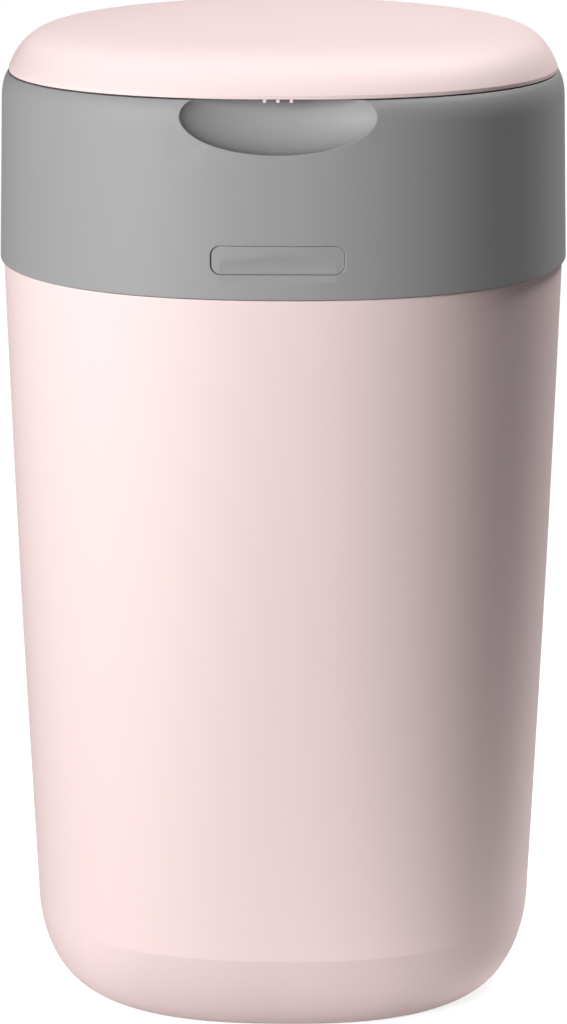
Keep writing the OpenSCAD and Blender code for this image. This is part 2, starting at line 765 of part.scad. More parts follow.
module cassette_body() color([0.95, 0.95, 0.94]) {
    rotate_extrude($fn = 96) polygon([
        [cassette_bore_r, cassette_z0], [cassette_r, cassette_z0], [cassette_r, cassette_z1],
        [cassette_r - cassette_wall, cassette_z1], [cassette_r - cassette_wall, cassette_z0 + cassette_wall],
        [cassette_bore_r + cassette_wall, cassette_z0 + cassette_wall],
        [cassette_bore_r + cassette_wall, cassette_z1 - 5], [cassette_bore_r, cassette_z1 - 5]]);
}

module cassette_cap() color([0.95, 0.95, 0.94]) {
    clip_r = cassette_r - cassette_wall - 0.2;
    rotate_extrude($fn = 96) polygon([
        [cassette_bore_r + cassette_wall + film_slot, cassette_z1], [clip_r - cassette_wall, cassette_z1],
        [clip_r - cassette_wall, cassette_z1 - 2], [clip_r, cassette_z1 - 2], [clip_r, cassette_z1],
        [cassette_r, cassette_z1], [cassette_r, cassette_z1 + cap_t],
        [cassette_bore_r + cassette_wall + film_slot, cassette_z1 + cap_t]]);
}

// The film, gathered in folds inside the cassette.
module film_pack() color([0.9, 0.93, 0.96]) {
    z0 = cassette_z0 + cassette_wall + 0.3;
    z1 = cassette_z1 - 4;
    r0 = cassette_bore_r + cassette_wall + 0.6;
    r1 = cassette_r - cassette_wall - 0.6;
    fold = (z1 - z0) / film_folds;
    depth = 1.6;
    rotate_extrude($fn = 96) polygon(concat(
        [for (k = [0:film_folds - 1]) each [[r1 - depth, z0 + k * fold], [r1, z0 + (k + 0.5) * fold]]],
        [[r1 - depth, z1], [r0 + depth, z1]],
        [for (k = [film_folds - 1:-1:0]) each [[r0, z0 + (k + 0.5) * fold], [r0 + depth, z0 + k * fold]]]));
}

// ---------- Detent plunger ----------

module detent_plunger() color([0.9, 0.9, 0.9]) {
    at_detent() rotate_extrude() polygon([
        [0, stem_z0], [stem_r, stem_z0], [stem_r, spring_z1], [shoulder_r, spring_z1],
        [shoulder_r, plunger_shoulder_z1], [plunger_r, plunger_shoulder_z1],
        [plunger_r, plunger_z1 - 1.2], [plunger_r - 0.4, plunger_z1 - 0.4], [plunger_r - 1.2, plunger_z1],
        [0, plunger_z1]]);
}

// ---------- Cutter ----------

module cutter_slider() color([0.93, 0.62, 0.45]) {
    difference() {
        union() {
            translate([slider_x, guide_y - channel_w / 2 + slide_gap, channel_z0 + slide_gap])
                cube([slider_l, channel_w - 2 * slide_gap, channel_z1 - channel_z0 - 2 * slide_gap]);
            translate([slider_x, guide_y - neck_w / 2 + slide_gap, guide_z0 - cut])
                cube([slider_l, neck_w - 2 * slide_gap, guide_h / 2]);
            translate([slider_x, guide_y - guide_w / 2, guide_z0 - thumb_h])
                cube([slider_l, guide_w, thumb_h - slide_gap]);
        }
        for (k = [1:4])
            translate([slider_x + slider_l * k / 5, guide_y, guide_z0 - thumb_h])
                rotate([90, 0, 0]) cylinder(h = guide_w + cut, r = 0.8, center = true, $fn = 24);
        blade_slot(slider_l);
    }
}

// Room for the blade in the block, l deep.
module blade_slot(l) {
    translate([slider_x + slider_l - l / 2, guide_y - 0.3, guide_z0 - thumb_h + 1.6])
        cube([l / 2 + cut, 0.6, thumb_h + 2]);
}

module cutter_blade() color("silver") {
    x0 = slider_x + slider_l / 2;
    z0 = guide_z0 - thumb_h + 1.6;
    h = thumb_h + 2;
    translate([0, guide_y + 0.3, 0]) rotate([90, 0, 0]) linear_extrude(0.6)
        polygon([[x0, z0], [x0 + slider_l / 2 + blade_out / 2, z0],
                 [x0 + slider_l / 2 + blade_out, z0 + h], [x0, z0 + h]]);
}

// ---------- Lid ----------

// Rings of the dome, from its band up: half-width hw at the band and the given rise. They move to the
// rear as they shrink, so the dome falls more gently towards the front.
function dome_rings(hw, rise) = [for (s = dome_steps)
    [for (p = section(hw, dome_z + rise * dome_share(s), s = s)) p + [0, dome_back * (1 - s), 0]]];

module lid_shell() color([0.96, 0.87, 0.86]) {
    leaf_root_y = rear_y(lid_hw - lid_wall / 2, lid_hinge_l / 2);
    boss_up = lid_band + lid_dome;
    leaf_x = lid_hinge_l / 2 - lid_leaf;
    difference() {
        union() {
            difference() {
                loft(concat([section(lid_hw, lid_z)], dome_rings(lid_hw, lid_dome)));
                difference() {
                    loft(concat([section(lid_in_hw, lid_z - cut)],
                                dome_rings(lid_in_hw, lid_dome - lid_wall)));
                    at_lid_screws() translate([0, 0, -boss_up])
                        cylinder(h = boss_up + head_t - 0.4 - liner_t, r = lid_boss_r, $fn = 32);
                }
            }
            for (x = [-leaf_x - lid_leaf, leaf_x]) {
                along_x(x, lid_leaf, lid_knuckle_r, lid_axis_y, lid_axis_z);
                side_strip(x, lid_leaf, [[leaf_root_y, lid_axis_z + 0.2],
                                         [lid_axis_y, lid_axis_z + 0.2],
                                         [lid_axis_y + lid_knuckle_r * 0.7, lid_axis_z + lid_knuckle_r * 0.7],
                                         [lid_axis_y - 1, lid_axis_z + 3 * lid_knuckle_r],
                                         [leaf_root_y, lid_axis_z + 3 * lid_knuckle_r]]);
            }
        }
        at_lid_screws() screw_hole(lid_screw_l);
        along_x(-lid_hinge_l, 2 * lid_hinge_l, pin_r + run_gap, lid_axis_y, lid_axis_z);
        along_x(-leaf_x, 2 * leaf_x, lid_knuckle_r + notch_gap, lid_axis_y, lid_axis_z);
    }
}

module lid_liner() color([0.9, 0.9, 0.9]) {
    difference() {
        union() {
            translate([0, 0, liner_z0]) linear_extrude(liner_t)
                polygon([for (p = section(liner_hw, 0)) [p[0], p[1]]]);
            turned_ring(throat_r + 8, throat_r + 10, liner_z0 - liner_rib, liner_z0 + cut);
        }
        at_lid_screws() screw_hole(lid_screw_l);
    }
}

module lid_screws() color("silver") {
    at_lid_screws() screw(lid_screw_l);
}

module lid_seal() color([0.35, 0.35, 0.36]) {
    loft([section(seal_hw, deck_z1 + seal_gap), section(seal_hw, liner_z0),
          section(seal_hw - seal_w, liner_z0), section(seal_hw - seal_w, deck_z1 + seal_gap)], loop = true);
}

// Bar under the lid's front edge, with short ribs that reach forward below the lip.
module lid_tongue() color([0.96, 0.87, 0.86]) {
    rib_y0 = -(lid_hw - flat) + 0.6;
    translate([-tongue_w / 2, tongue_y0, lid_z - tongue_drop])
        cube([tongue_w, tongue_y1 - tongue_y0, liner_z0 - lid_z + tongue_drop]);
    for (i = [0:nub_count - 1])
        translate([(i - (nub_count - 1) / 2) * nub_pitch - nub_w / 2, rib_y0, lid_z - nub_h - 0.1])
            cube([nub_w, tongue_y1 - rib_y0, nub_h]);
}

tub();
head_hinge_pin();
collar();
badge_panel();
deck();
deck_screws();
cassette_well();
well_screws();
clutch_ring();
clutch_screws();
cutter_guide();
cutter_guide_screws();
detent_cap();
detent_spring();
lid_hinge_pin();
cassette_carrier();
twist_ring();
cassette_body();
cassette_cap();
film_pack();
detent_plunger();
cutter_slider();
cutter_blade();
lid_shell();
lid_liner();
lid_screws();
lid_seal();
lid_tongue();
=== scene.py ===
"""Nappy bin: a tapered pink tub, a grey tipping collar and a domed lid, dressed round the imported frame."""

import json
import math
from functools import partialmethod

import bmesh
import bpy
import numpy as np
from bpy.props import FloatProperty, FloatVectorProperty, IntProperty, PointerProperty
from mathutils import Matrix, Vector


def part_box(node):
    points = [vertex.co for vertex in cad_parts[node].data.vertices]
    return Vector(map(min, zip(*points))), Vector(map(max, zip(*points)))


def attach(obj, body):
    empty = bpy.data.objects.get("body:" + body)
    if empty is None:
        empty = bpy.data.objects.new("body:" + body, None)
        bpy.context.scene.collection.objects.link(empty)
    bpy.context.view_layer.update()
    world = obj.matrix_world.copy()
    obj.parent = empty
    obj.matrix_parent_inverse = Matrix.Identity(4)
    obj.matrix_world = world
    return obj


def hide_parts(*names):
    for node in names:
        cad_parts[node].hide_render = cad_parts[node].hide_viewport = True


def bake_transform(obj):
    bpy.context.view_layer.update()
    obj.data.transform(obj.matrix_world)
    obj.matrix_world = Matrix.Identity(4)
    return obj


bl_info = {
    "name": "Nappy bin",
    "version": (1, 0, 0),
    "blender": (4, 5, 0),
    "location": "View3D > Sidebar > Nappy bin",
    "description": "Builds the pieces, finishes and studio stage of a nappy bin",
    "category": "Object",
}

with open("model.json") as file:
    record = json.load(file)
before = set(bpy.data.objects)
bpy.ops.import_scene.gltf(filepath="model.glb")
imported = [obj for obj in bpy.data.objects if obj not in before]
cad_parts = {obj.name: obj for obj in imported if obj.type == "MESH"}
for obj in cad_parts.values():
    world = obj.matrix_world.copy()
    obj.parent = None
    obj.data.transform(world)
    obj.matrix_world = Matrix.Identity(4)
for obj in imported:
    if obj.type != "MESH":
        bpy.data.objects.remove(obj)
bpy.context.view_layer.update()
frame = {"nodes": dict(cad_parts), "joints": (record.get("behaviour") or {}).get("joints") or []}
MM = 0.001
QUARTER = math.pi / 2

# Hinge leaves.
BORE_R = 1.54 * MM
BORE_END = 1 * MM
LEAF_EDGE = 0.4 * MM
LEAF_GAP = 0.3 * MM
NOTCH_GAP = 0.4 * MM
NOTCH_END = 0.3 * MM
KNUCKLE_STEPS = 28
ROD_STEPS = 48


class Hinge:
    """A pin joint along X. One piece holds the outer leaves, and the other holds the middle leaf."""

    def __init__(self, joint, length, leaf_length, knuckle_r):
        self.axis = Vector(next(j for j in frame["joints"] if j["name"] == joint)["pos_m"])
        self.knuckle_r = knuckle_r
        half = length / 2
        inner = half - leaf_length - LEAF_GAP
        self.outer = [(-half, -half + leaf_length), (half - leaf_length, half)]
        self.middle = [(-inner, inner)]

    def outline(self, root):
        """A knuckle in (y, z): the root's two points on the wall, then the circle between the tangents."""
        centre = Vector((self.axis.y, self.axis.z))

        def tangent(point, side):
            away = Vector(point) - centre
            return math.atan2(away.y, away.x) + side * math.acos(min(1.0, self.knuckle_r / away.length))

        start, end = tangent(root[1], 1), tangent(root[0], -1)
        while end < start:
            end += 2 * math.pi
        return root + on_circle(centre.x, centre.y, self.knuckle_r, spaced(start, end, KNUCKLE_STEPS))

    def rods(self, spans, radius, gap):
        """Rods on the pin's axis, longer than their spans by a gap at both ends, to cut with."""
        outline = on_circle(self.axis.y, self.axis.z, radius, spaced(0, 2 * math.pi, ROD_STEPS)[:-1])
        return [extruded_x("rod", outline, x0 - gap, x1 + gap) for x0, x1 in spans]

    def notches(self, spans, gap=NOTCH_END):
        """What has to go from a wall so that the other piece's leaves can turn."""
        return self.rods(spans, self.knuckle_r + NOTCH_GAP, gap)

    def leaves(self, name, spans, root, material, body, slot):
        """Makes leaves that run into a root on the wall, bored for the pin, as one piece on its body."""
        parts = []
        for span in spans:
            part = extruded_x(name, self.outline(root), *span, material)
            limit = {"limit_method": "ANGLE", "angle_limit": math.radians(30)}
            add_modifier(part, "BEVEL", width=LEAF_EDGE, segments=3, **limit)
            parts.append(carve(evaluated(part), self.rods([span], BORE_R, BORE_END)))
        place(smooth(joined(name, parts), 40), body, slot)


HEAD = Hinge("head_hinge", 60 * MM, 10 * MM, 3.4 * MM)
LID = Hinge("lid_hinge", 50 * MM, 50 / 5.5 * MM, 3.0 * MM)
SEAM_Z = HEAD.axis.z
LID_Z = LID.axis.z
COLLAR_LO, COLLAR_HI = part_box("collar")
HALF_W = COLLAR_HI.x
FLAT = HALF_W + COLLAR_LO.y
LID_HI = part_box("lid_shell")[1]

# How square the plan outline is: 2 is an ellipse, and a larger number is squarer.
SQUARE_TOP = 2.3
SQUARE_BASE = 2.5

# Collar profile.
DRAFT = 2.1 * MM
SHOULDER_H = 12 * MM
SHOULDER_IN = 4.4 * MM
SHOULDER_Z = LID_Z - SHOULDER_H
COLLAR_WALL = 3 * MM
RIM_W = 3.8 * MM
RIM_Z = LID_Z - 0.6 * MM
DECK_TOP = LID_Z - 6 * MM
DECK_UNDER = DECK_TOP - 3 * MM
LEDGE_W = 5.5 * MM
LEDGE_UNDER = DECK_UNDER - 3 * MM

# Tub profile.
CREASE_H = 41 * MM
CREASE_HW = HALF_W - 10.6 * MM
TUB_TAPER = 9.1 * MM
TUB_BELLY = 0.6 * MM
FOOT_INSET = 22.6 * MM
TUB_WALL = 2.8 * MM
TUB_FLOOR = 3 * MM
TUB_TOP = SEAM_Z - 0.4 * MM
SPIGOT_HW = HALF_W - COLLAR_WALL - 0.6 * MM
SPIGOT_TOP = SEAM_Z + 8 * MM

# Badge: its outline, the gap round it, and the parts of the collar's face that are remade round it.
BADGE_LO, BADGE_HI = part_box("badge_panel")
BADGE_CORNER = 3.85 * MM
BADGE_GAP = 0.15 * MM
RECESS_DEEP = 1.6 * MM
RECESS_DRAFT = 0.3 * MM
BADGE_ROWS = (SEAM_Z + 6.5 * MM, SEAM_Z + 25.5 * MM)
BADGE_REACH = 32 * MM

# The collar's plain rows, in mm above the seam: below the badge, and between it and the scoop.
PLAIN_ROWS = ((1.5, 4), (29, 34, 39, 44, 49))

# Finger scoop: an ellipsoid centred on the collar's front face.
SCOOP_HALF = Vector((41, 13, 15.7)) * MM
SCOOP_WALL = 2.4 * MM
SCOOP_Z = LID_Z - 6 * MM
SCOOP_ROW = LID_Z - 25 * MM
SCOOP_REACH = 42.5 * MM
SCOOP_STEPS = 72
SCOOP_SAMPLES = 600
FILLET_FADE = 5.0
FILLET_STEPS = 5
CUP_STEPS = 20

# Lid profile.
LID_WALL = 2.5 * MM
LID_BAND = 1.5 * MM
DOME_ROLL = 20
CROWN_PART = 0.38
DOME_BACK = 45 * MM
DOME_TOP = 0.2

# Twist ring.
THROAT_R = 46 * MM
WEB_T = 3 * MM
FIN_COUNT = 6
FIN_HALF_W = 3 * MM
FIN_TALL = 9 * MM
FIN_ROUND = 1.6 * MM

# Click spring.
SPRING_WIRE = 0.8 * MM
SPRING_TURNS = 5.0

# Stage, in metres. Far from the object, the floor gives back less light and glows more for the camera.
FLOOR_HALF = 9.0
FLOOR_MIDDLE = (0.0, 0.0, 0.0)
SHADE_MIDDLE = (0.15, 0.12, 0.0)
GLOW_RAMP = (0.2, 0.8, 0.8, 1.0)
SHADE_RAMP = (0.15, 0.5, 0.85, 0.1)
GLOSS_PART = 0.5
LAMP_AIM = Vector((0, 0, 0.24))
LAMPS = {
    "key": ((0.7, 0.8), (-1.0, -1.25, 0.7)),
    "top": ((0.7, 0.7), (0.95, 0.55, 2.2)),
    "rim": ((0.5, 0.8), (1.3, 0.75, 0.2)),
}
CAMERA_LENS = 108.12
CAMERA_AWAY = 1.32375
CAMERA_Z = 0.58
CAMERA_SWING = math.radians(1.2)
CAMERA_PITCH = math.radians(15.59)


# ---------- Outline and profiles ----------


def spaced(first, last, steps):
    """Evenly spaced numbers, both ends included."""
    return [first + (last - first) * k / steps for k in range(steps + 1)]


def on_circle(x, y, radius, turns):
    """Places on a circle round (x, y) at the given turns."""
    return [(x + radius * math.cos(a), y + radius * math.sin(a)) for a in turns]


def bend(a, p, b, t):
    """A place on the curve from a to b that p pulls towards itself."""
    return a * (1 - t) ** 2 + p * 2 * t * (1 - t) + b * t * t


def collar_hw(z):
    """Half-width of the collar's outer face at height z."""
    if z <= SHOULDER_Z:
        return HALF_W - DRAFT * (z - SEAM_Z) / (SHOULDER_Z - SEAM_Z)
    up = (z - SHOULDER_Z) / SHOULDER_H
    return HALF_W - DRAFT - SHOULDER_IN * (1 - math.sqrt(max(0.0, 1 - up * up)))


RIM_HW = collar_hw(RIM_Z)
WELL_HW = RIM_HW - RIM_W
LEDGE_HW = WELL_HW - LEDGE_W
SCOOP_Y = FLAT - collar_hw(SCOOP_Z)


def on_outline(hw, angle):
    """A place on the plan outline at an angle round it."""
    circle = math.cos(angle), math.sin(angle)
    x, y = (math.copysign(abs(v) ** (2 / SQUARE_TOP), v) for v in circle)
    return hw * x, (hw - FLAT) * y


def outline_depth(hw, x):
    """How far the outline lies from the middle plane at a distance x from the centre."""
    return (hw - FLAT) * max(0.0, 1 - abs(x / hw) ** SQUARE_TOP) ** (1 / SQUARE_TOP)


def on_face(x, z, deep=0.0):
    """A place on the collar's front at x and z, sunk by deep."""
    return Vector((x, -outline_depth(collar_hw(min(z, RIM_Z)), x) + deep, z))


def rounded(steps, *corners):
    """A profile line with its corners rounded. Each corner is a half-width, a height and a radius."""
    line = []
    for k, (w, z, radius) in enumerate(corners):
        p = Vector((w, z))
        if not radius:
            line.append(tuple(p))
            continue
        before, after = (Vector(corners[k + way][:2]) - p for way in (-1, 1))
        reach = min(radius, before.length * 0.49, after.length * 0.49)
        a, b = (p + arm.normalized() * reach for arm in (before, after))
        line += [tuple(bend(a, p, b, t)) for t in spaced(0, 1, steps)]
    return line


# ---------- Node trees ----------


class Net:
    """Adds nodes to a tree and joins them."""

    def __init__(self, tree):
        self.tree = tree

    def node(self, kind, inputs=(), **settings):
        made = self.tree.nodes.new(kind)
        row, column = divmod(len(self.tree.nodes), 12)
        made.location = (170 * column, -190 * row)
        for name, value in settings.items():
            setattr(made, name, value)
        for name, value in dict(inputs).items():
            self.feed(made.inputs[name], value)
        return made

    def add(self, kind, inputs=(), **settings):
        """Adds a node and gives its first output."""
        return self.node(kind, inputs, **settings).outputs[0]

    def feed(self, socket, value):
        if isinstance(value, bpy.types.NodeSocket):
            self.tree.links.new(value, socket)
        else:
            socket.default_value = value

    def math(self, operation, *values):
        return self.add("ShaderNodeMath", dict(enumerate(values)), operation=operation)

    plus, minus = partialmethod(math, "ADD"), partialmethod(math, "SUBTRACT")
    times, over = partialmethod(math, "MULTIPLY"), partialmethod(math, "DIVIDE")

    def mix(self, share, first, second):
        return self.node("ShaderNodeMix", {0: share, 6: first, 7: second}, data_type="RGBA").outputs[2]

    def ramp(self, value, first, last, low, high):
        """Turns first to last into low to high, and holds there."""
        ends = {"Value": value, "From Min": first, "From Max": last, "To Min": low, "To Max": high}
        return self.add("ShaderNodeMapRange", ends)

    def noise(self, vector, scale, detail, **inputs):
        return self.add("ShaderNodeTexNoise", {"Vector": vector, "Scale": scale, "Detail": detail, **inputs})

    def group(self, tree, inputs):
        return self.node("ShaderNodeGroup", inputs, node_tree=tree).outputs

    def socket(self, name, given, way):
        """Adds a socket of the kind that a word names, or for a number with that number as its default."""
        kind = given if isinstance(given, str) else type(given).__name__.capitalize()
        made = self.tree.interface.new_socket(name, in_out=way, socket_type="NodeSocket" + kind)
        if kind != given:
            made.default_value = given


def node_group(name, kind, inputs, outputs, make):
    """A node group, built the first time that it is asked for. make gives what its outputs put out."""
    found = bpy.data.node_groups.get(name)
    if found:
        return found
    net = Net(bpy.data.node_groups.new(name, kind + "NodeTree"))
    for way, sockets in (("INPUT", inputs), ("OUTPUT", outputs)):
        for label, given in sockets.items():
            net.socket(label, given, way)
    net.node("NodeGroupOutput", make(net, net.node("NodeGroupInput").outputs))
    return net.tree


def shape_group(name, inputs, make):
    """A Geometry Nodes group that ends in real meshes with the given material."""

    def whole(net, given):
        made = net.add("GeometryNodeRealizeInstances", {"Geometry": make(net, given)})
        coated = {"Geometry": made, "Material": given["Material"]}
        return {"Geometry": net.add("GeometryNodeSetMaterial", coated)}

    inputs = {"Geometry": "Geometry", **inputs, "Material": "Material"}
    return node_group(name, "Geometry", inputs, {"Geometry": "Geometry"}, whole)


def shell_tree():
    """Skins a profile line round the rounded-square plan. Its points hold half-width as x, height as z."""

    def make(net, given):
        counts = net.node("GeometryNodeAttributeDomainSize", {"Geometry": given["Geometry"]}).outputs
        across = net.plus(given["Points around"], 1)
        grid = net.add("GeometryNodeMeshGrid", {"Vertices X": counts["Point Count"], "Vertices Y": across})
        index = net.add("GeometryNodeInputIndex")
        ring = net.math("FLOOR", net.over(net.plus(index, 0.5), across))
        step = net.minus(index, net.times(ring, across))
        turn = net.over(net.times(step, 2 * math.pi), given["Points around"])

        def sampled(value, kind):
            fed = {"Geometry": given["Geometry"], "Value": value, "Index": ring}
            return net.node("GeometryNodeSampleIndex", fed, data_type=kind, domain="POINT").outputs["Value"]

        def named(name):
            value = net.node("GeometryNodeInputNamedAttribute", {"Name": name}, data_type="FLOAT")
            return sampled(value.outputs["Attribute"], "FLOAT")

        def spread(circle, size, power):
            share = net.math("POWER", net.math("ABSOLUTE", circle), power)
            return net.times(net.times(net.math("SIGN", circle), share), size)

        place = sampled(net.add("GeometryNodeInputPosition"), "FLOAT_VECTOR")
        split = net.node("ShaderNodeSeparateXYZ", {"Vector": place}).outputs
        power = net.over(2.0, named("squareness"))
        x = spread(net.math("COSINE", turn), split["X"], power)
        y = net.plus(spread(net.math("SINE", turn), named("depth"), power), named("back"))
        at = net.add("ShaderNodeCombineXYZ", {"X": x, "Y": y, "Z": split["Z"]})
        skin = net.add("GeometryNodeSetPosition", {"Geometry": grid, "Position": at})
        merge = {"Geometry": skin, "Distance": given["Merge distance"]}
        return net.add("GeometryNodeMergeByDistance", merge)

    return shape_group("Rounded square shell", {"Points around": 256, "Merge distance": 0.00002}, make)


def ring_tree():
    """Sets copies of one shape round the Z axis, evenly."""

    def make(net, given):
        points = net.add("GeometryNodeMeshLine", {"Count": given["Count"], "Offset": (0, 0, 0)})
        turn = net.times(net.add("GeometryNodeInputIndex"), 2 * math.pi)
        spin = net.add("ShaderNodeCombineXYZ", {"Z": net.over(turn, given["Count"])})
        copies = {"Points": points, "Instance": given["Geometry"], "Rotation": spin}
        return net.add("GeometryNodeInstanceOnPoints", copies)

    return shape_group("Shapes round a ring", {"Count": 6}, make)


def coil_tree():
    """Sweeps a round wire along a coil that climbs the Z axis."""

    def make(net, given):
        coil = {"Resolution": 32, "Rotations": given["Turns"], "Height": given["Climb"]}
        coil = {**coil, "Start Radius": given["Coil radius"], "End Radius": given["Coil radius"]}
        coil = net.add("GeometryNodeCurveSpiral", coil)
        ring = net.add("GeometryNodeCurvePrimitiveCircle", {"Resolution": 12, "Radius": given["Wire radius"]})
        wire = {"Curve": coil, "Profile Curve": ring, "Fill Caps": True}
        wire = net.add("GeometryNodeCurveToMesh", wire)
        return net.add("GeometryNodeTransform", {"Geometry": wire, "Translation": given["Foot"]})

    sizes = {"Turns": 5.0, "Coil radius": 0.003, "Wire radius": 0.0004, "Climb": 0.008, "Foot": "Vector"}
    return shape_group("Coil of wire", sizes, make)


# ---------- Meshes ----------


def linked(name, data):
    """A new object in the scene."""
    made = bpy.data.objects.new(name, data)
    bpy.context.scene.collection.objects.link(made)
    return made


def new_object(name, points, faces, material=None, edges=()):
    mesh = bpy.data.meshes.new(name)
    mesh.from_pydata([tuple(p) for p in points], list(edges), [tuple(f) for f in faces])
    mesh.update()
    if material:
        mesh.materials.append(material)
    return linked(name, mesh)


def add_modifier(made, kind, **settings):
    modifier = made.modifiers.new(kind.capitalize(), kind)
    for name, value in settings.items():
        setattr(modifier, name, value)
    return modifier


def evaluated(made):
    """The object's mesh with its modifiers done, which are then removed."""
    bpy.context.view_layer.update()
    graph = bpy.context.evaluated_depsgraph_get()
    mesh = bpy.data.meshes.new_from_object(made.evaluated_get(graph))
    made.modifiers.clear()
    made.data = mesh
    mesh.name = made.name
    return made


def noded(made, tree, values):
    """The object remade by a Geometry Nodes tree, whose inputs are set by their sockets' identifiers."""
    modifier = add_modifier(made, "NODES", node_group=tree)
    for item in tree.interface.items_tree:
        if item.item_type == "SOCKET" and item.in_out == "INPUT" and item.name in values:
            modifier[item.identifier] = values[item.name]
    return evaluated(made)


def face_out(made):
    """Turns a closed mesh's faces outwards."""
    work = bmesh.new()
    work.from_mesh(made.data)
    bmesh.ops.recalc_face_normals(work, faces=work.faces)
    inside_out = work.calc_volume(signed=True) < 0
    work.to_mesh(made.data)
    work.free()
    if inside_out:
        made.data.flip_normals()
    return made


def skinned(name, profile, material, around, round_plan=False):
    """A closed shell round the plan outline. The profile is a list of rows: half-width, height, and then
    the share of the plan, its squareness, and how far the ring sits back."""
    flat, squareness = (0.0, 2.0) if round_plan else (FLAT, SQUARE_TOP)
    rows = [tuple(p) + (1.0, squareness, 0.0)[len(p) - 2 :] for p in profile]
    edges = [(k, k + 1) for k in range(len(rows) - 1)]
    line = new_object(name, [(row[0] * row[2], 0, row[1]) for row in rows], [], edges=edges)
    for label, values in (
        ("depth", [max(0.0, row[0] - flat) * row[2] for row in rows]),
        ("squareness", [row[3] for row in rows]),
        ("back", [row[4] for row in rows]),
    ):
        line.data.attributes.new(label, "FLOAT", "POINT").data.foreach_set("value", values)
    return face_out(noded(line, shell_tree(), {"Points around": around, "Material": material}))


def smooth(made, angle):
    """Smooth shading with edges sharper than the angle kept crisp."""
    made.data.shade_smooth()
    made.data.set_sharp_from_angle(angle=math.radians(angle))
    return made


def weighted(made):
    """Normals that follow the large faces, so that flats stay flat beside their rounded edges."""
    add_modifier(made, "WEIGHTED_NORMAL", keep_sharp=True, weight=60)
    return evaluated(made)


def carve(made, cutters):
    """Takes the cutters' shapes out of a piece."""
    for cutter in cutters:
        add_modifier(made, "BOOLEAN", operation="DIFFERENCE", solver="EXACT", object=cutter)
    evaluated(made)
    for cutter in cutters:
        bpy.data.objects.remove(cutter)
    return made


def joined(name, parts):
    """Several meshes as one piece."""
    work = bmesh.new()
    for part in parts:
        work.from_mesh(part.data)
    mesh = bpy.data.meshes.new(name)
    work.to_mesh(mesh)
    work.free()
    for slot in parts[0].data.materials:
        mesh.materials.append(slot)
    for part in parts:
        bpy.data.objects.remove(part)
    return linked(name, mesh)


def strip(a, b):
    """Quads between two lines of the same number of points, or triangles where the lines share one."""
    loops = [tuple(dict.fromkeys((a[k], a[k + 1], b[k + 1], b[k]))) for k in range(len(a) - 1)]
    return [loop for loop in loops if len(loop) > 2]


def skin(rings):
    """Quads from each closed ring of points to the next."""
    return [face for a, b in zip(rings, rings[1:]) for face in strip(a + a[:1], b + b[:1])]


def zipper(a, b, points):
    """Triangles between two lines of points that run side by side."""
    faces, i, j = [], 0, 0
    while i < len(a) - 1 or j < len(b) - 1:
        step_a = i < len(a) - 1 and (
            j == len(b) - 1
            or (points[a[i + 1]] - points[b[j]]).length <= (points[b[j + 1]] - points[a[i]]).length
        )
        if step_a:
            faces.append((a[i], a[i + 1], b[j]))
            i += 1
        else:
            faces.append((a[i], b[j + 1], b[j]))
            j += 1
    return [f for f in faces if len(set(f)) == 3]


def stacked(name, rings, material=None):
    """A closed piece skinned over rings of places, with the first and the last ring filled."""
    n = len(rings[0])
    numbers = [list(range(k * n, (k + 1) * n)) for k in range(len(rings))]
    faces = skin(numbers) + [numbers[0][::-1], numbers[-1]]
    return face_out(new_object(name, [p for ring in rings for p in ring], faces, material))


def extruded_x(name, profile, x0, x1, material=None):
    """A prism along X with a (y, z) outline."""
    return stacked(name, [[(x, y, z) for y, z in profile] for x in (x0, x1)], material)


def place(made, body, slot, *nodes):
    """Puts a finished piece on its body and hides the nodes that it stands for. The slot is not used."""
    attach(made, body)
    if nodes:
        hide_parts(*nodes)


# ---------- Finishes ----------


def moulded_grain():
    """A moulded plastic's skin: fine grain, a slow flow, and a roughness and tint that drift."""

    def make(net, given):
        def noise(size, detail):
            return net.noise(given["Vector"], net.over(1.0, size), detail)

        grain = noise(given["Grain size"], 3.0)
        flow = noise(given["Flow size"], 2.0)
        patch = noise(net.times(given["Flow size"], 2.5), 3.0)
        drift = net.times(net.minus(patch, 0.5), given["Drift"])
        fine = net.times(given["Drift"], 0.6)
        speck = net.times(net.minus(grain, 0.5), fine)
        return {
            "Height": net.plus(net.times(grain, 0.5), flow),
            "Roughness": net.plus(given["Base roughness"], net.plus(drift, speck)),
            "Tint": net.plus(0.5, net.times(drift, 2.0)),
        }

    inputs = {"Vector": "Vector", "Grain size": 0.0005, "Flow size": 0.03}
    inputs |= {"Base roughness": 0.5, "Drift": 0.05}
    outputs = {"Height": "Float", "Roughness": "Float", "Tint": "Float"}
    return node_group("Moulded grain", "Shader", inputs, outputs, make)


def edge_rub():
    """Where handling rubs a piece: a mask over its outer edges, broken up by noise."""

    def make(net, given):
        point = net.node("ShaderNodeNewGeometry").outputs["Pointiness"]
        noise = net.noise(given["Vector"], 260.0, 4.0)
        worn = net.over(net.minus(point, 0.52), given["Spread"])
        return {"Mask": net.add("ShaderNodeClamp", {"Value": net.times(worn, noise)})}

    return node_group("Edge rub", "Shader", {"Vector": "Vector", "Spread": 0.06}, {"Mask": "Float"}, make)


def foot_band():
    """Painted shade below the tub's crease, on the front and the rear, fading out towards the corners: the
    mask where the colour is darkened to stand for the shading at the crease.
    """

    def make(net, given):
        at = net.node("ShaderNodeSeparateXYZ", {"Vector": given["Vector"]}).outputs
        below = net.ramp(at["Z"], given["Foot top"], given["Crease"], 1.0, 0.0)
        middle = net.ramp(net.math("ABSOLUTE", at["X"]), given["Near"], given["Far"], 1.0, 0.0)
        return {"Mask": net.times(below, middle)}

    inputs = {"Vector": "Vector", "Foot top": 0.0379, "Crease": 0.0385, "Near": 0.058, "Far": 0.084}
    return node_group("Foot band", "Shader", inputs, {"Mask": "Float"}, make)


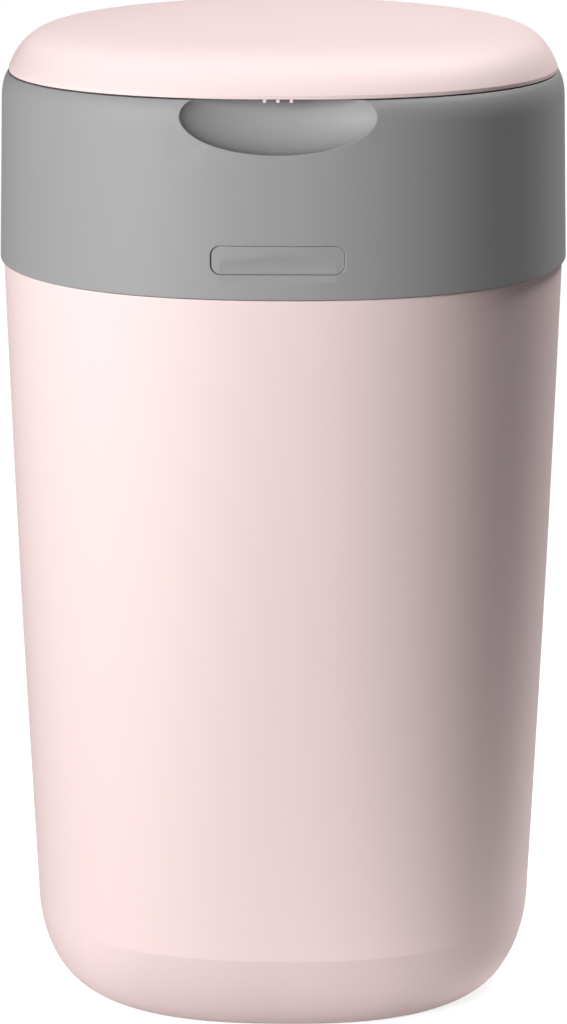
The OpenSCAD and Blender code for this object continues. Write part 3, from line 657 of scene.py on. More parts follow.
def linear(colour):
    """A linear colour with alpha from the red, green and blue that a screen shows, 0 to 1."""
    return tuple(c / 12.92 if c <= 0.04045 else ((c + 0.055) / 1.055) ** 2.4 for c in colour) + (1.0,)


def tinted(base, share, lift=0.0):
    """A linear colour made lighter or darker."""
    return tuple(min(1.0, c * share + lift) for c in base[:3]) + (1.0,)


def cleared(owner):
    """The empty node tree of a material or a world."""
    owner.use_nodes = True
    owner.node_tree.nodes.clear()
    return Net(owner.node_tree)


def new_material(name, build):
    """A finish, built when it is first asked for. The frame's own plain materials keep the slots' names.
    build gives the shader's inputs, with a relief's height and depth in metres as its Normal."""
    name += "_finish"
    made = bpy.data.materials.get(name)
    if made:
        return made
    made = bpy.data.materials.new(name)
    net = cleared(made)
    values = build(net, net.node("ShaderNodeTexCoord").outputs["Object"])
    height, depth = values["Normal"]
    values["Normal"] = net.add("ShaderNodeBump", {"Height": height, "Distance": depth})
    net.node("ShaderNodeOutputMaterial", {"Surface": net.add("ShaderNodeBsdfPrincipled", values)})
    return made


def plastic(
    name, colour, roughness, grain=0.0005, depth=0.00002, drift=0.05, rub=0.0, foot_tone=0.0, **constants
):
    """A moulded plastic. Constants go on the shader's own sockets. With a crease shade amount, painted shade
    darkens the colour below the tub's crease.
    """

    def build(net, where):
        base = linear(colour)
        look = {"Vector": where, "Grain size": grain, "Base roughness": roughness, "Drift": drift}
        skin = net.group(moulded_grain(), look)
        tone = net.mix(skin["Tint"], tinted(base, 0.975), tinted(base, 1.02))
        rough = skin["Roughness"]
        # Painted shade: the colour below the tub's crease is darkened to stand for the shading at the crease.
        if foot_tone:
            foot = net.group(foot_band(), {"Vector": where})["Mask"]
            tone = net.mix(foot, tone, tinted(base, 1 - foot_tone))
        if rub:
            share = net.times(net.group(edge_rub(), {"Vector": where})["Mask"], rub)
            tone = net.mix(share, tone, tinted(base, 1.35, 0.02))
            rough = net.minus(rough, net.times(share, 0.12))
        own = {socket.replace("_", " "): value for socket, value in constants.items()}
        return {"Base Color": tone, "Roughness": rough, "Normal": (skin["Height"], depth), **own}

    return new_material(name, build)


def brushed_steel():
    def build(net, where):
        drawn = net.add("ShaderNodeMapping", {"Vector": where, "Scale": (60.0, 900.0, 900.0)})
        lines = net.noise(drawn, 3.0, 4.0)
        tone = net.mix(lines, (0.5, 0.5, 0.52, 1.0), (0.68, 0.68, 0.7, 1.0))
        rough = net.plus(0.22, net.times(lines, 0.2))
        return {"Base Color": tone, "Roughness": rough, "Normal": (lines, 0.00002), "Metallic": 1.0}

    return new_material("bright_steel", build)


def folded_film():
    """Thin blue-white film, with a fine crumple across its folds."""

    def build(net, where):
        stretched = net.add("ShaderNodeMapping", {"Vector": where, "Scale": (1.0, 1.0, 5.0)})
        crumple = net.noise(stretched, 160.0, 6.0, Distortion=1.2)
        tone = net.mix(crumple, linear((0.78, 0.84, 0.9)), linear((0.93, 0.96, 0.98)))
        rough = net.plus(0.18, net.times(crumple, 0.25))
        return {"Base Color": tone, "Roughness": rough, "Normal": (crumple, 0.0006)}

    return new_material("film_folds", build)


# ---------- Settings ----------


def setting(kind, **unit):
    """A function that makes a setting of one kind from its name, description and default."""

    def made(name, description, default):
        return kind(name=name, description=description, default=default, **unit)

    return made


length = setting(FloatProperty, unit="LENGTH")
colour = setting(FloatVectorProperty, subtype="COLOR_GAMMA", size=3)
factor = setting(FloatProperty, subtype="FACTOR")
power = setting(FloatProperty, unit="POWER")


class NappyBinSizes(bpy.types.PropertyGroup):
    points_around: IntProperty(
        name="Points around", description="Points round each shell", default=320, min=64, max=512
    )
    edge: length("Edge radius", "Rounding of the collar's and lid's crisp edges", 0.35 * MM)
    seam_edge: length("Seam radius", "Rounding of the collar's lower edge", 0.5 * MM)
    scoop_edge: length("Scoop edge", "Rounding where the finger scoop meets the face", 0.7 * MM)
    badge_edge: length("Badge edge", "Rounding round the badge recess", 0.45 * MM)


class NappyBinFinish(bpy.types.PropertyGroup):
    pink: colour("Tub pink", "Colour of the tub", (0.968, 0.872, 0.87))
    lid_pink: colour("Lid pink", "Colour of the lid", (0.968, 0.872, 0.87))
    grey: colour("Collar grey", "Colour of the collar", (0.61, 0.61, 0.61))
    coral: colour("Clutch coral", "Colour of the clutch", (0.88, 0.57, 0.46))
    # Painted shade: how much the tub's colour is darkened below its crease.
    foot_tone: factor("Foot tone", "How much deeper the tub's colour is below its crease", 0.1)
    pink_roughness: factor("Pink roughness", "Gloss of the pink", 0.62)
    grey_roughness: factor("Grey roughness", "Gloss of the grey", 0.6)


class NappyBinStage(bpy.types.PropertyGroup):
    key_power: power("Key light", "Power of the soft light on the left", 30.0)
    top_power: power("Top light", "Power of the soft light overhead", 44.0)
    rim_power: power("Rim light", "Power of the light behind the right side", 1.0)
    room: FloatProperty(name="Room light", description="Brightness of the room all round", default=0.01)


def sizes():
    return bpy.context.scene.nappy_bin_sizes


def finish():
    return bpy.context.scene.nappy_bin_finish


def lid_plastic():
    f = finish()
    return plastic("lid_pink", f.lid_pink, f.pink_roughness, depth=0.000012)


# ---------- Pieces ----------


class MakeTub(bpy.types.Operator):
    """Makes the tub with its foot, inner wall and rear hinge leaves"""

    bl_idname = "nappy_bin.make_tub"
    bl_label = "Tub"

    def execute(self, context):
        f, edge = finish(), sizes().edge
        # The tub's finish carries painted shade below its crease.
        material = plastic("tub_pink", f.pink, f.pink_roughness, depth=0.000012, foot_tone=f.foot_tone)
        top = CREASE_HW + TUB_TAPER

        def row(hw, z):
            return hw, z, 1.0, SQUARE_BASE + (SQUARE_TOP - SQUARE_BASE) * z / SEAM_Z

        def side(t, inset=0.0):
            hw = CREASE_HW + TUB_TAPER * t + TUB_BELLY * math.sin(math.pi * t) - inset
            return row(hw, CREASE_H + (TUB_TOP - CREASE_H) * t)

        def foot(a, floor=0.0, inset=0.0):
            hw = CREASE_HW - inset - FOOT_INSET * (1 - math.sin(a))
            return row(hw, floor + (CREASE_H - floor) * (1 - math.cos(a)))

        def bottom(ring, shares):
            return [(ring[0], ring[1], share, ring[3]) for share in shares]

        turns = spaced(0, QUARTER, 20)
        profile = bottom(foot(0), (0.0, 0.3, 0.6, 0.85, 0.97))
        profile += [foot(a) for a in turns[:-1] + [QUARTER * 0.99]]
        profile += [side(t) for t in spaced(0.004, 0.996, 30)]
        profile += rounded(
            4,
            (top, TUB_TOP - 0.8 * MM, 0),
            (top, TUB_TOP, edge),
            (SPIGOT_HW, TUB_TOP, edge),
            (SPIGOT_HW, SPIGOT_TOP, 2 * edge),
            (SPIGOT_HW - TUB_WALL, SPIGOT_TOP, 2 * edge),
            (SPIGOT_HW - TUB_WALL, TUB_TOP - 2 * TUB_WALL, 0),
        )
        profile += [side(t, TUB_WALL) for t in (0.9, 0.75, 0.5, 0.25, 0.08)]
        profile += [foot(a, TUB_FLOOR, TUB_WALL) for a in turns[::-2]]
        profile += bottom(foot(0, TUB_FLOOR, TUB_WALL), (0.9, 0.5, 0.0))
        tub = skinned("tub_shell", profile, material, sizes().points_around)
        carve(tub, HEAD.notches(HEAD.middle, 0.6 * MM))
        place(weighted(smooth(tub, 40)), "tub", "tub_pink", "tub")
        wall_y = outline_depth(top, HEAD.outer[1][1]) - 0.6 * MM
        root = [(wall_y, TUB_TOP - 0.4 * MM), (wall_y, TUB_TOP - 17 * MM)]
        HEAD.leaves("tub_hinge_leaves", HEAD.outer, root, material, "tub", "tub_pink")
        return {"FINISHED"}


def last_held(test, low, high):
    """The last number from low towards high at which a test holds."""
    for _ in range(40):
        middle = (low + high) / 2
        low, high = (middle, high) if test(middle) else (low, middle)
    return low


def to_unit(p):
    """A place as seen in the scoop's unit sphere."""
    return Vector((p.x / SCOOP_HALF.x, (p.y - SCOOP_Y) / SCOOP_HALF.y, (p.z - SCOOP_Z) / SCOOP_HALF.z))


def from_unit(q):
    return Vector((q.x * SCOOP_HALF.x, q.y * SCOOP_HALF.y + SCOOP_Y, q.z * SCOOP_HALF.z + SCOOP_Z))


def badge_loop(grow=0.0):
    """Places round the badge's outline grown by a gap, from its middle, each with its outward direction.
    The top side is divided, and the bottom side is one straight edge."""
    xs = (BADGE_HI.x - BADGE_LO.x) / 2 - BADGE_CORNER
    zs = (BADGE_HI.z - BADGE_LO.z) / 2 - BADGE_CORNER
    loop = []
    for corner, (x, z) in enumerate(((xs, zs), (-xs, zs), (-xs, -zs), (xs, -zs))):
        turns = spaced(QUARTER * corner, QUARTER * (corner + 1), 10)
        loop += on_circle(x, z, BADGE_CORNER + grow, turns)
        if corner == 0:
            x, z = loop[-1]
            loop += [(x * share, z) for share in spaced(1, -1, 26)[1:-1]]
    outward = [Vector((x - max(-xs, min(xs, x)), z - max(-zs, min(zs, z)))).normalized() for x, z in loop]
    return [(*at, *way) for at, way in zip(loop, outward)]


def sides(grid, window):
    """The points up a window's left side and up its right side."""
    row0, row1, *columns = window
    return ([line[c] for line in grid[row0 : row1 + 1]] for c in columns)


class CollarMaker:
    """Builds the collar as one closed mesh, with its badge recess, finger scoop, rim and the deck's ledge."""

    def __init__(self, settings):
        self.around = settings.points_around
        self.settings = settings
        self.points = []
        self.faces = []
        self.rim_edge_z = RIM_Z - settings.edge
        self.angles = spaced(0, 2 * math.pi, self.around)[:-1]

    def point(self, x, y, z):
        self.points.append(Vector((x, y, z)))
        return len(self.points) - 1

    def row(self, hw, z, columns):
        """New points on the outline at a half-width and a height, for some of the angles."""
        return [self.point(*on_outline(hw, self.angles[j]), z) for j in columns]

    def columns(self, x_limit):
        """The columns on either side of a window in the front, as positions in the list of angles."""
        places = enumerate(on_outline(HALF_W, a) for a in self.angles)
        inside = [k for k, (x, y) in places if y < 0 and abs(x) < x_limit]
        return [inside[0] - 1, inside[-1] + 1]

    def outer_face(self):
        """Makes the outer face with two windows left open, each given as two rows and two columns."""
        r = self.settings.seam_edge
        rows = [(HALF_W - r + r * math.sin(a), SEAM_Z + r - r * math.cos(a)) for a in spaced(0, QUARTER, 4)]
        below, between = ([SEAM_Z + h * MM for h in row] for row in PLAIN_ROWS)
        heights = below + spaced(*BADGE_ROWS, 6) + between + spaced(SCOOP_ROW, SHOULDER_Z, 4)
        climb = self.rim_edge_z - SHOULDER_Z
        heights += [SHOULDER_Z + climb * math.sin(a) for a in spaced(0, QUARTER, 10)[1:]]
        rows += [(collar_hw(z), z) for z in heights]
        grid = [self.row(hw, z, range(self.around)) for hw, z in rows]
        levels = [z for _, z in rows]
        badge = [levels.index(z) for z in BADGE_ROWS] + self.columns(BADGE_REACH)
        scoop = [levels.index(SCOOP_ROW), len(rows) - 1] + self.columns(SCOOP_REACH)
        for i in range(len(rows) - 1):
            for j in range(self.around):
                if not any(w[0] <= i < w[1] and w[2] <= j < w[3] for w in (badge, scoop)):
                    k = (j + 1) % self.around
                    self.faces.append((grid[i][j], grid[i][k], grid[i + 1][k], grid[i + 1][j]))
        return grid, badge, scoop

    def badge_recess(self, grid, window):
        row0, row1, col0, col1 = window
        left, right = sides(grid, window)
        border = grid[row0][col0:col1] + right + grid[row1][col0 + 1 : col1][::-1] + left[::-1]
        middle_z = ((BADGE_LO + BADGE_HI) / 2).z
        edge = self.settings.badge_edge
        steps = [(edge * 3, 0.0)]
        steps += [(edge * (1 - math.sin(a)), edge * (1 - math.cos(a))) for a in spaced(0, QUARTER, 5)]
        steps += [(0.0, RECESS_DEEP - RECESS_DRAFT), (-RECESS_DRAFT, RECESS_DEEP)]
        rings = []
        for out, deep in steps:
            loop = [(x + nx * out, middle_z + z + nz * out) for x, z, nx, nz in badge_loop(BADGE_GAP)]
            rings.append([self.point(*on_face(x, z, deep)) for x, z in loop])
        corner = self.points[border[0]]
        start = min(range(len(rings[0])), key=lambda k: (self.points[rings[0][k]] - corner).length)
        rings = [ring[start:] + ring[:start] for ring in rings]
        self.faces += zipper(border, rings[0] + rings[0][:1], self.points)
        self.faces += skin(rings)
        centre = self.point(*on_face(0, middle_z, RECESS_DEEP))
        self.faces += skin([rings[-1], [centre] * len(rings[-1])])

    def scoop_outline(self):
        """Even places where the scoop meets the outer face, from the left corner round below to the right."""

        def reach(angle):
            def inside(r):
                return to_unit(on_face(r * math.cos(angle), SCOOP_Z + r * math.sin(angle))).length < 1

            return last_held(inside, 0.0, SCOOP_HALF.x * 1.1)

        top = self.rim_edge_z - SCOOP_Z
        corner = last_held(lambda angle: reach(angle) * math.sin(angle) < top, 0.0, math.pi / 3)
        turns = np.linspace(-math.pi - corner, corner, SCOOP_SAMPLES)
        dense = np.array([on_circle(0, SCOOP_Z, reach(t), [t])[0] for t in turns])
        along = np.concatenate([[0], np.cumsum(np.hypot(*np.diff(dense, axis=0).T))])
        even = np.linspace(0, along[-1], SCOOP_STEPS + 1)
        xs, zs = (np.interp(even, along, dense[:, k]) for k in (0, 1))
        return (xs - xs[::-1]) / 2, (zs + zs[::-1]) / 2

    def finger_scoop(self, grid, window):
        """Fills the scoop's window, and gives the line of points along the rim's edge, from left to right."""
        xs, zs = self.scoop_outline()
        tx, tz = np.gradient(xs), np.gradient(zs)
        size = np.hypot(tx, tz)
        steps = np.arange(SCOOP_STEPS + 1)
        fillet = self.settings.scoop_edge * np.minimum(1.0, np.minimum(steps, steps[::-1]) / FILLET_FADE)
        top_share = math.sqrt(1 - ((self.rim_edge_z - SCOOP_Z) / SCOOP_HALF.z) ** 2)
        corner = on_face(xs[-1], zs[-1])
        psi = math.atan2((corner.y - SCOOP_Y) / SCOOP_HALF.y, corner.x / SCOOP_HALF.x)
        rows = [[] for _ in range(FILLET_STEPS + 1 + CUP_STEPS)]
        for s in range(SCOOP_STEPS + 1):
            edge = on_face(xs[s], zs[s])
            if s in (0, SCOOP_STEPS):
                shared = self.point(*edge)
                for row in rows:
                    row.append(shared)
                continue
            turn = math.pi - psi + (2 * psi - math.pi) * s / SCOOP_STEPS
            half_x, half_y = SCOOP_HALF.x * top_share, SCOOP_HALF.y * top_share
            back = Vector((half_x * math.cos(turn), SCOOP_Y + half_y * math.sin(turn), self.rim_edge_z))
            p, q = to_unit(edge).normalized(), to_unit(back).normalized()
            arc = p.angle(q)

            def on_cup(t):
                """A place on the scoop, part of the way from its edge to the rim."""
                return from_unit((p * math.sin((1 - t) * arc) + q * math.sin(t * arc)) / math.sin(arc))

            step = min(0.3, fillet[s] / (back - edge).length)
            outer = on_face(xs[s] + tz[s] / size[s] * fillet[s], zs[s] - tx[s] / size[s] * fillet[s])
            places = [bend(outer, edge, on_cup(step), t) for t in spaced(0, 1, FILLET_STEPS)]
            places += [on_cup(t) for t in spaced(step, 1, CUP_STEPS)[1:]]
            for row, at in zip(rows, places):
                row.append(self.point(*at))
        left, right = sides(grid, window)
        bottom = grid[window[0]][window[2] + 1 : window[3]]
        border = left[::-1] + bottom + right
        self.faces += zipper(border, rows[0], self.points)
        for a, b in zip(rows, rows[1:]):
            self.faces += strip(a, b)
        return rows[-1]

    def cup_back(self, x, z, wall):
        """How far back the wall behind the scoop reaches."""
        half = SCOOP_HALF + Vector((wall, wall, wall))
        left = 1 - (x / half.x) ** 2 - ((z - SCOOP_Z) / half.z) ** 2
        return SCOOP_Y + half.y * math.sqrt(left) if left > 0 else -1.0

    def inner_profile(self):
        """The rim's inner corner, the well that holds the deck, its ledge and gusset, and the inner wall."""
        profile = rounded(
            4,
            (RIM_HW - 1.2 * MM, RIM_Z, 0),
            (WELL_HW, RIM_Z, 0.5 * MM),
            (WELL_HW, DECK_UNDER, 0),
            (LEDGE_HW, DECK_UNDER, 0),
            (LEDGE_HW, LEDGE_UNDER, 0),
        )[1:]
        wall_rows = [profile[-4][1] - k * 1.5 * MM for k in range(1, 5)]
        profile[-3:-3] = [(WELL_HW, z) for z in wall_rows if z > DECK_UNDER]
        gusset_z = LEDGE_UNDER - (collar_hw(DECK_UNDER) - COLLAR_WALL - LEDGE_HW)
        last_hw, last_z = profile[-1]
        widths = spaced(last_hw, collar_hw(gusset_z) - COLLAR_WALL, 9)
        profile += list(zip(widths, spaced(last_z, gusset_z, 9)))[1:]
        inner = HALF_W - COLLAR_WALL
        return profile + [(inner, SEAM_Z + 20 * MM), (inner, SEAM_Z + 0.5 * MM), (inner + 0.5 * MM, SEAM_Z)]

    def build(self):
        grid, badge, scoop = self.outer_face()
        self.badge_recess(grid, badge)
        rim_line = self.finger_scoop(grid, scoop)
        col0, col1 = scoop[2:]
        outside = [j % self.around for j in range(col1, col0 + self.around + 1)]
        front = [self.points[v] for v in rim_line]
        neighbours = zip(front[:1] + front, front[1:] + front[-1:])
        normals = [Vector((a.y - b.y, b.x - a.x, 0)).normalized() for a, b in neighbours]
        normals[0], normals[-1] = Vector((-0.45, 1.0, 0)), Vector((0.45, 1.0, 0))
        rings = [[grid[-1][j] for j in outside] + rim_line]
        for turn in (math.pi / 6, math.pi / 3, QUARTER):
            inset = self.settings.edge * (1 - math.cos(turn))
            rise = self.settings.edge * math.sin(turn)
            ring = self.row(collar_hw(self.rim_edge_z) - inset, self.rim_edge_z + rise, outside)
            lift = Vector((0, 0, rise))
            rings.append(ring + [self.point(*(p + m * inset + lift)) for p, m in zip(front, normals)])
        for hw, z in self.inner_profile():
            wall = SCOOP_WALL - (max(0.0, hw - WELL_HW) if z > DECK_TOP else 0.0)
            depths = [max(-outline_depth(hw, p.x), self.cup_back(p.x, z, wall)) for p in front]
            ring = self.row(hw, z, outside)
            rings.append(ring + [self.point(p.x, y, z) for p, y in zip(front, depths)])
        self.faces += skin(rings)
        base, last, count = grid[0], rings[-1], len(outside)
        self.faces += strip([base[j] for j in outside], last[:count])
        self.faces += zipper(base[col0 : col1 + 1], last[count - 1 :] + last[:1], self.points)
        return self.points, self.faces


class MakeCollar(bpy.types.Operator):
    """Makes the collar with its badge recess, finger scoop, rim, inner ledge and middle hinge leaves"""

    bl_idname = "nappy_bin.make_collar"
    bl_label = "Collar"

    def execute(self, context):
        f = finish()
        look = {"grain": 0.0004, "depth": 0.00003, "drift": 0.07, "rub": 0.35}
        material = plastic("collar_grey", f.grey, f.grey_roughness, **look)
        points, faces = CollarMaker(sizes()).build()
        collar = face_out(new_object("collar_shell", points, faces, material))
        carve(collar, HEAD.notches(HEAD.outer) + LID.notches(LID.outer))
        place(weighted(smooth(collar, 50)), "head", "collar_grey", "collar")
        for name, hinge, hw, high, low in (
            ("collar_lower_leaf", HEAD, HALF_W, SEAM_Z + 17 * MM, SEAM_Z + 0.4 * MM),
            ("collar_upper_leaf", LID, RIM_HW, RIM_Z - 0.2 * MM, LID_Z - 12 * MM),
        ):
            wall_y = outline_depth(hw, hinge.outer[1][0]) - 0.8 * MM
            root = [(wall_y, high), (wall_y, low)]
            hinge.leaves(name, hinge.middle, root, material, "head", "collar_grey")
        return {"FINISHED"}


class MakeBadge(bpy.types.Operator):
    """Makes the blank badge panel in the collar's recess"""

    bl_idname = "nappy_bin.make_badge"
    bl_label = "Badge panel"

    def execute(self, context):
        f = finish()
        look = {"grain": 0.0004, "depth": 0.000025, "drift": 0.06}
        material = plastic("badge_grey", f.grey, f.grey_roughness - 0.04, **look)
        middle_z = (BADGE_HI.z + BADGE_LO.z) / 2
        top, deep, edge = 0.8 * MM, 1.55 * MM, 0.15 * MM
        steps = [(0, deep, 1), (0, top + edge, 1), (edge * 0.3, top + edge * 0.3, 1)]
        steps += [(edge, top, share) for share in (1, 0.8, 0.55, 0.28)]
        points, rings = [], []
        for inset, sunk, share in steps:
            ring = [(x - nx * inset, middle_z + (z - nz * inset) * share) for x, z, nx, nz in badge_loop()]
            rings.append(list(range(len(points), len(points) + len(ring))))
            points += [on_face(x, z, sunk) for x, z in ring]
        upper = [v for v in rings[-1] if points[v].z >= middle_z]
        lower = [v for v in rings[-1] if points[v].z < middle_z]
        halves = (sorted(half, key=lambda v: points[v].x) for half in (upper, lower))
        faces = skin(rings) + zipper(*halves, points) + [rings[0][::-1]]
        panel = face_out(new_object("badge_panel_blank", points, faces, material))
        place(weighted(smooth(panel, 50)), "head", "badge_grey", "badge_panel")
        return {"FINISHED"}


class MakeLid(bpy.types.Operator):
    """Makes the domed lid with its band, inner skin and outer hinge leaves"""

    bl_idname = "nappy_bin.make_lid"
    bl_label = "Lid"

    def execute(self, context):
        material = lid_plastic()
        band_z = LID_Z + LID_BAND
        shares = [math.cos(a) ** (2 / DOME_ROLL) for a in spaced(0, QUARTER, 60)[:57]]
        shares += spaced(shares[-1], DOME_TOP, 16)[1:]

        def up(share):
            """Height above the band, as a part of the rise: a border that rolls over, and a shallow crown."""
            return (1 - CROWN_PART) * (1 - share**DOME_ROLL) + CROWN_PART * (1 - share * share)

        def dome(hw, height):
            rows = [(hw, band_z + height * up(v), v, SQUARE_TOP, DOME_BACK * (1 - v)) for v in shares]
            return rows + [rows[-1][:2] + (0.0,) + rows[-1][3:]]

        rise = (LID_HI.z - band_z) / up(DOME_TOP)
        foot = rounded(
            4,
            (LID_HI.x - LID_WALL, LID_Z + 1.2 * MM, 0),
            (LID_HI.x - LID_WALL, LID_Z, 0.25 * MM),
            (LID_HI.x, LID_Z, 0.25 * MM),
            (LID_HI.x, band_z - 0.3 * MM, 0),
        )
        profile = dome(LID_HI.x - LID_WALL, rise - LID_WALL)[::-3] + foot + dome(LID_HI.x, rise)
        lid = skinned("lid_dome", profile, material, sizes().points_around)
        carve(lid, LID.notches(LID.middle))
        place(weighted(smooth(lid, 50)), "lid", "lid_pink", "lid_shell")
        wall_y = outline_depth(LID_HI.x, LID.outer[1][1]) - 0.9 * MM
        root = [(wall_y - 2 * MM, LID_Z + 9 * MM), (wall_y, LID_Z + 0.3 * MM)]
        LID.leaves("lid_hinge_leaves", LID.outer, root, material, "lid", "lid_pink")
        return {"FINISHED"}


class MakeTwistRing(bpy.types.Operator):
    """Makes the twist ring: a turned dish with a throat and grip fins"""

    bl_idname = "nappy_bin.make_twist_ring"
    bl_label = "Twist ring"

    def execute(self, context):
        look = {"depth": 0.000015, "drift": 0.06}
        material = plastic("ring_pink", (0.94, 0.83, 0.82), finish().pink_roughness, **look)
        low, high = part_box("twist_ring")
        outer, low_z = high.x, low.z
        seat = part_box("cassette_carrier")[1].z
        web = seat + WEB_T
        t = THROAT_R
        line = rounded(
            6,
            (t, low_z + 3 * MM, 0),
            (t, low_z, 0.5 * MM),
            (t + 2 * MM, low_z, 0.5 * MM),
            (t + 2 * MM, seat, 0.5 * MM),
            (outer, seat, 0.5 * MM),
            (outer, web + 3 * MM, 1.1 * MM),
            (outer - 2.5 * MM, web + 3 * MM, 1.1 * MM),
            (outer - 5 * MM, web, 2 * MM),
            (t + 7.5 * MM, web, 3 * MM),
            (t + 3.4 * MM, web + 4 * MM, 1.5 * MM),
            (t, web + 4 * MM, 1.5 * MM),
            (t, low_z + 3.2 * MM, 0),
        )
        dish = smooth(skinned("twist_ring_dish", line + line[:1], material, 192, round_plan=True), 50)
        near, far = t + 6 * MM, outer - 5 * MM - FIN_HALF_W
        plan = on_circle(far, 0, FIN_HALF_W, spaced(-QUARTER, QUARTER, 16))
        plan += on_circle(near, 0, FIN_HALF_W, spaced(QUARTER, 3 * QUARTER, 16))
        fin_top = web + FIN_TALL - FIN_ROUND
        rows = [(0.0, web - 0.8 * MM), (0.0, fin_top)]
        turns = spaced(0.25, QUARTER, 5)
        rows += [(FIN_ROUND * (1 - math.cos(a)), fin_top + FIN_ROUND * math.sin(a)) for a in turns]
        rings = []
        for inset, z in rows:
            share = 1 - inset / FIN_HALF_W
            middles = [max(near, min(far, x)) for x, _ in plan]
            rings.append([(m + (x - m) * share, y * share, z) for m, (x, y) in zip(middles, plan)])
        copies = {"Count": FIN_COUNT, "Material": material}
        fin = noded(stacked("twist_ring_fins", rings), ring_tree(), copies)
        ring = weighted(joined("twist_ring_moulded", [dish, smooth(fin, 45)]))
        place(ring, "twister", "ring_pink", "twist_ring")
        return {"FINISHED"}


# Finish: its colour, its roughness and the nodes that have it.
INNER_FINISHES = {
    "deck_grey": ((0.70, 0.70, 0.71), 0.5, ("deck", "cutter_guide", "detent_cap")),
    "well_grey": ((0.77, 0.77, 0.78), 0.5, ("cassette_well",)),
    "carrier_grey": ((0.80, 0.80, 0.81), 0.45, ("cassette_carrier",)),
    "cassette_white": ((0.93, 0.93, 0.92), 0.4, ("detent_plunger", "cassette_body", "cassette_cap")),
    "liner_white": ((0.88, 0.88, 0.88), 0.45, ("lid_liner",)),
}
SCREW_SETS = ("deck_screws", "well_screws", "clutch_screws", "cutter_guide_screws", "lid_screws")
STEEL_NODES = ("head_hinge_pin", "lid_hinge_pin", "cutter_blade") + SCREW_SETS


def coat(nodes, material):
    """Gives nodes of the frame a material."""
    for node in nodes:
        made = frame["nodes"][node]
        if not made.material_slots:
            made.data.materials.append(material)
        for slot in made.material_slots:
            slot.material = material


class FinishInside(bpy.types.Operator):
    """Gives the inner mouldings, the clutch, the film, the seal and the steel pieces their finishes"""

    bl_idname = "nappy_bin.finish_inside"
    bl_label = "Inner pieces"

    def execute(self, context):
        for name, (tone, roughness, nodes) in INNER_FINISHES.items():
            coat(nodes, plastic(name, tone, roughness, depth=0.00003, drift=0.07, rub=0.2))
        soft = {"Subsurface_Weight": 0.1, "Subsurface_Scale": 0.002}
        coat(("clutch_ring", "cutter_slider"), plastic("clutch_coral", finish().coral, 0.45, **soft))
        coat(("lid_tongue",), lid_plastic())
        coat(("film_pack",), folded_film())
        coat(("lid_seal",), plastic("seal_rubber", (0.34, 0.34, 0.35), 0.75, grain=0.0003, depth=0.00005))
        coat(STEEL_NODES, brushed_steel())
        return {"FINISHED"}


class MakeSpring(bpy.types.Operator):
    """Makes the click's coil spring as a fixed coil; the real spring shortens as the plunger sinks"""

    bl_idname = "nappy_bin.make_spring"
    bl_label = "Click spring"

    def execute(self, context):
        low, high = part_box("detent_spring")
        middle = (low + high) / 2
        values = {
            "Turns": SPRING_TURNS,
            "Coil radius": (high.x - low.x - SPRING_WIRE) / 2,
            "Wire radius": SPRING_WIRE / 2,
            "Climb": high.z - low.z - SPRING_WIRE,
            "Foot": (middle.x, middle.y, low.z + SPRING_WIRE / 2),
            "Material": brushed_steel(),
        }
        spring = noded(new_object("click_spring", [(0, 0, 0)], []), coil_tree(), values)
        smooth(face_out(spring), 40)
        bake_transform(spring)
        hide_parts("detent_spring")
        return {"FINISHED"}


# ---------- Stage ----------


def aim(made, way):
    """Turns a lamp or a camera to look along a direction."""
    made.rotation_euler = way.to_track_quat("-Z", "Y").to_euler()


def area_light(name, power, size, at):
    data = bpy.data.lights.new(name, "AREA")
    data.shape = "RECTANGLE"
    data.size, data.size_y = size
    data.energy = power
    made = linked(name, data)
    made.location = at
    aim(made, LAMP_AIM - Vector(at))


def seen_share(net, in_gloss):
    """1 for rays that see a surface straight or through glass, and a part of it for a gloss."""
    rays = net.node("ShaderNodeLightPath").outputs
    seen = net.math("MAXIMUM", rays["Is Camera Ray"], rays["Is Transmission Ray"])
    return net.math("MAXIMUM", seen, net.times(rays["Is Glossy Ray"], in_gloss))


def make_floor():
    """A matt floor that catches the object's shadow, with a white glow for the camera only."""
    material = bpy.data.materials.new("floor_white")
    net = cleared(material)
    where = net.node("ShaderNodeTexCoord").outputs["Object"]

    def away_from(point):
        return net.node("ShaderNodeVectorMath", {0: where, 1: point}, operation="DISTANCE").outputs["Value"]

    given_back = net.ramp(away_from(SHADE_MIDDLE), *SHADE_RAMP)
    glow = net.ramp(away_from(FLOOR_MIDDLE), *GLOW_RAMP)
    matt = net.add("ShaderNodeBsdfDiffuse", {"Color": given_back})
    strength = net.times(seen_share(net, GLOSS_PART), glow)
    white = net.add("ShaderNodeEmission", {"Color": (1, 1, 1, 1), "Strength": strength})
    net.node("ShaderNodeOutputMaterial", {"Surface": net.add("ShaderNodeAddShader", {0: matt, 1: white})})
    h = FLOOR_HALF
    corners = [(-h, -h, 0), (h, -h, 0), (h, h, 0), (-h, h, 0)]
    new_object("floor", corners, [(0, 1, 2, 3)], material)


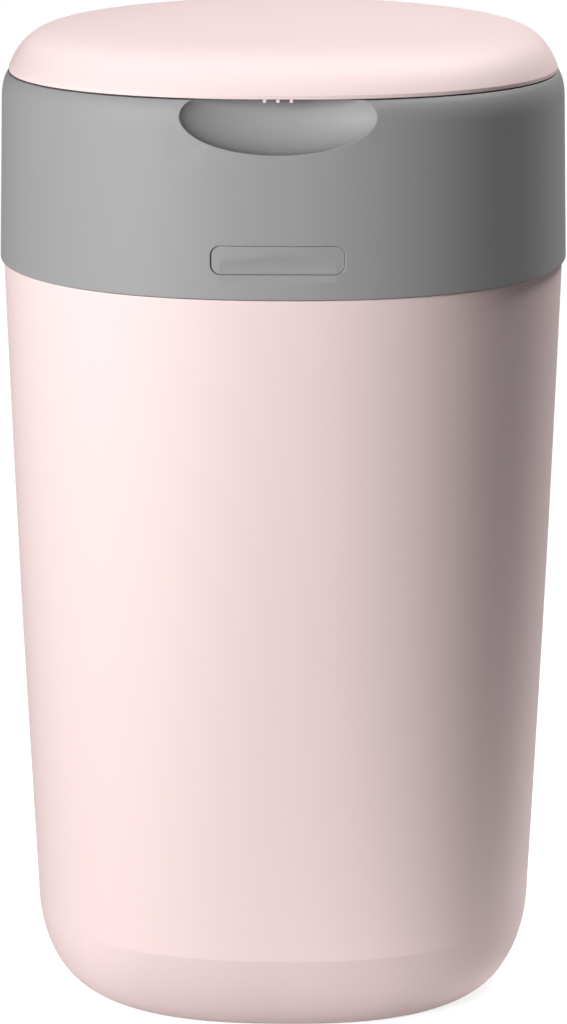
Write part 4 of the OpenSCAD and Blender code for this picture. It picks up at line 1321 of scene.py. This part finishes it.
class MakeStage(bpy.types.Operator):
    """Makes the pale floor, the soft lamps, the room light and the camera"""

    bl_idname = "nappy_bin.make_stage"
    bl_label = "Stage"

    def execute(self, context):
        scene = context.scene
        settings = scene.nappy_bin_stage
        make_floor()
        scene.world = bpy.data.worlds.new("room")
        net = cleared(scene.world)
        strength = net.math("MAXIMUM", seen_share(net, 0.0), settings.room)
        room = net.add("ShaderNodeBackground", {"Color": (1, 1, 1, 1), "Strength": strength})
        net.node("ShaderNodeOutputWorld", {"Surface": room})
        for name, (size, at) in LAMPS.items():
            area_light(name, getattr(settings, name + "_power"), size, at)
        scene.view_settings.view_transform = "Standard"
        camera = bpy.data.cameras.new("camera")
        camera.lens = CAMERA_LENS
        camera.sensor_width = 36.0
        camera.clip_end = 50.0
        made = linked("camera", camera)
        aside, ahead = math.sin(CAMERA_SWING), math.cos(CAMERA_SWING)
        made.location = (CAMERA_AWAY * aside, -CAMERA_AWAY * ahead, CAMERA_Z)
        level, down = math.cos(CAMERA_PITCH), math.sin(CAMERA_PITCH)
        aim(made, Vector((-aside * level, ahead * level, -down)))
        scene.camera = made
        return {"FINISHED"}


OPERATORS = (MakeTub, MakeCollar, MakeBadge, MakeLid, MakeTwistRing, FinishInside, MakeSpring, MakeStage)


class NappyBinPanel(bpy.types.Panel):
    bl_idname = "VIEW3D_PT_nappy_bin"
    bl_label = "Nappy bin"
    bl_space_type = "VIEW_3D"
    bl_region_type = "UI"
    bl_category = "Nappy bin"

    def draw(self, context):
        for label in GROUPS:
            group = getattr(context.scene, label)
            box = self.layout.box()
            for name in group.__annotations__:
                box.prop(group, name)
        for operator in OPERATORS:
            self.layout.operator(operator.bl_idname)


GROUPS = {
    "nappy_bin_sizes": NappyBinSizes,
    "nappy_bin_finish": NappyBinFinish,
    "nappy_bin_stage": NappyBinStage,
}
CLASSES = (*GROUPS.values(), *OPERATORS, NappyBinPanel)


def register():
    for made in CLASSES:
        bpy.utils.register_class(made)
    for name, group in GROUPS.items():
        setattr(bpy.types.Scene, name, PointerProperty(type=group))


def unregister():
    for name in GROUPS:
        delattr(bpy.types.Scene, name)
    for made in reversed(CLASSES):
        bpy.utils.unregister_class(made)


def main():
    register()
    for operator in OPERATORS:
        group, name = operator.bl_idname.split(".")
        getattr(getattr(bpy.ops, group), name)()


if __name__ == "__main__":
    main()
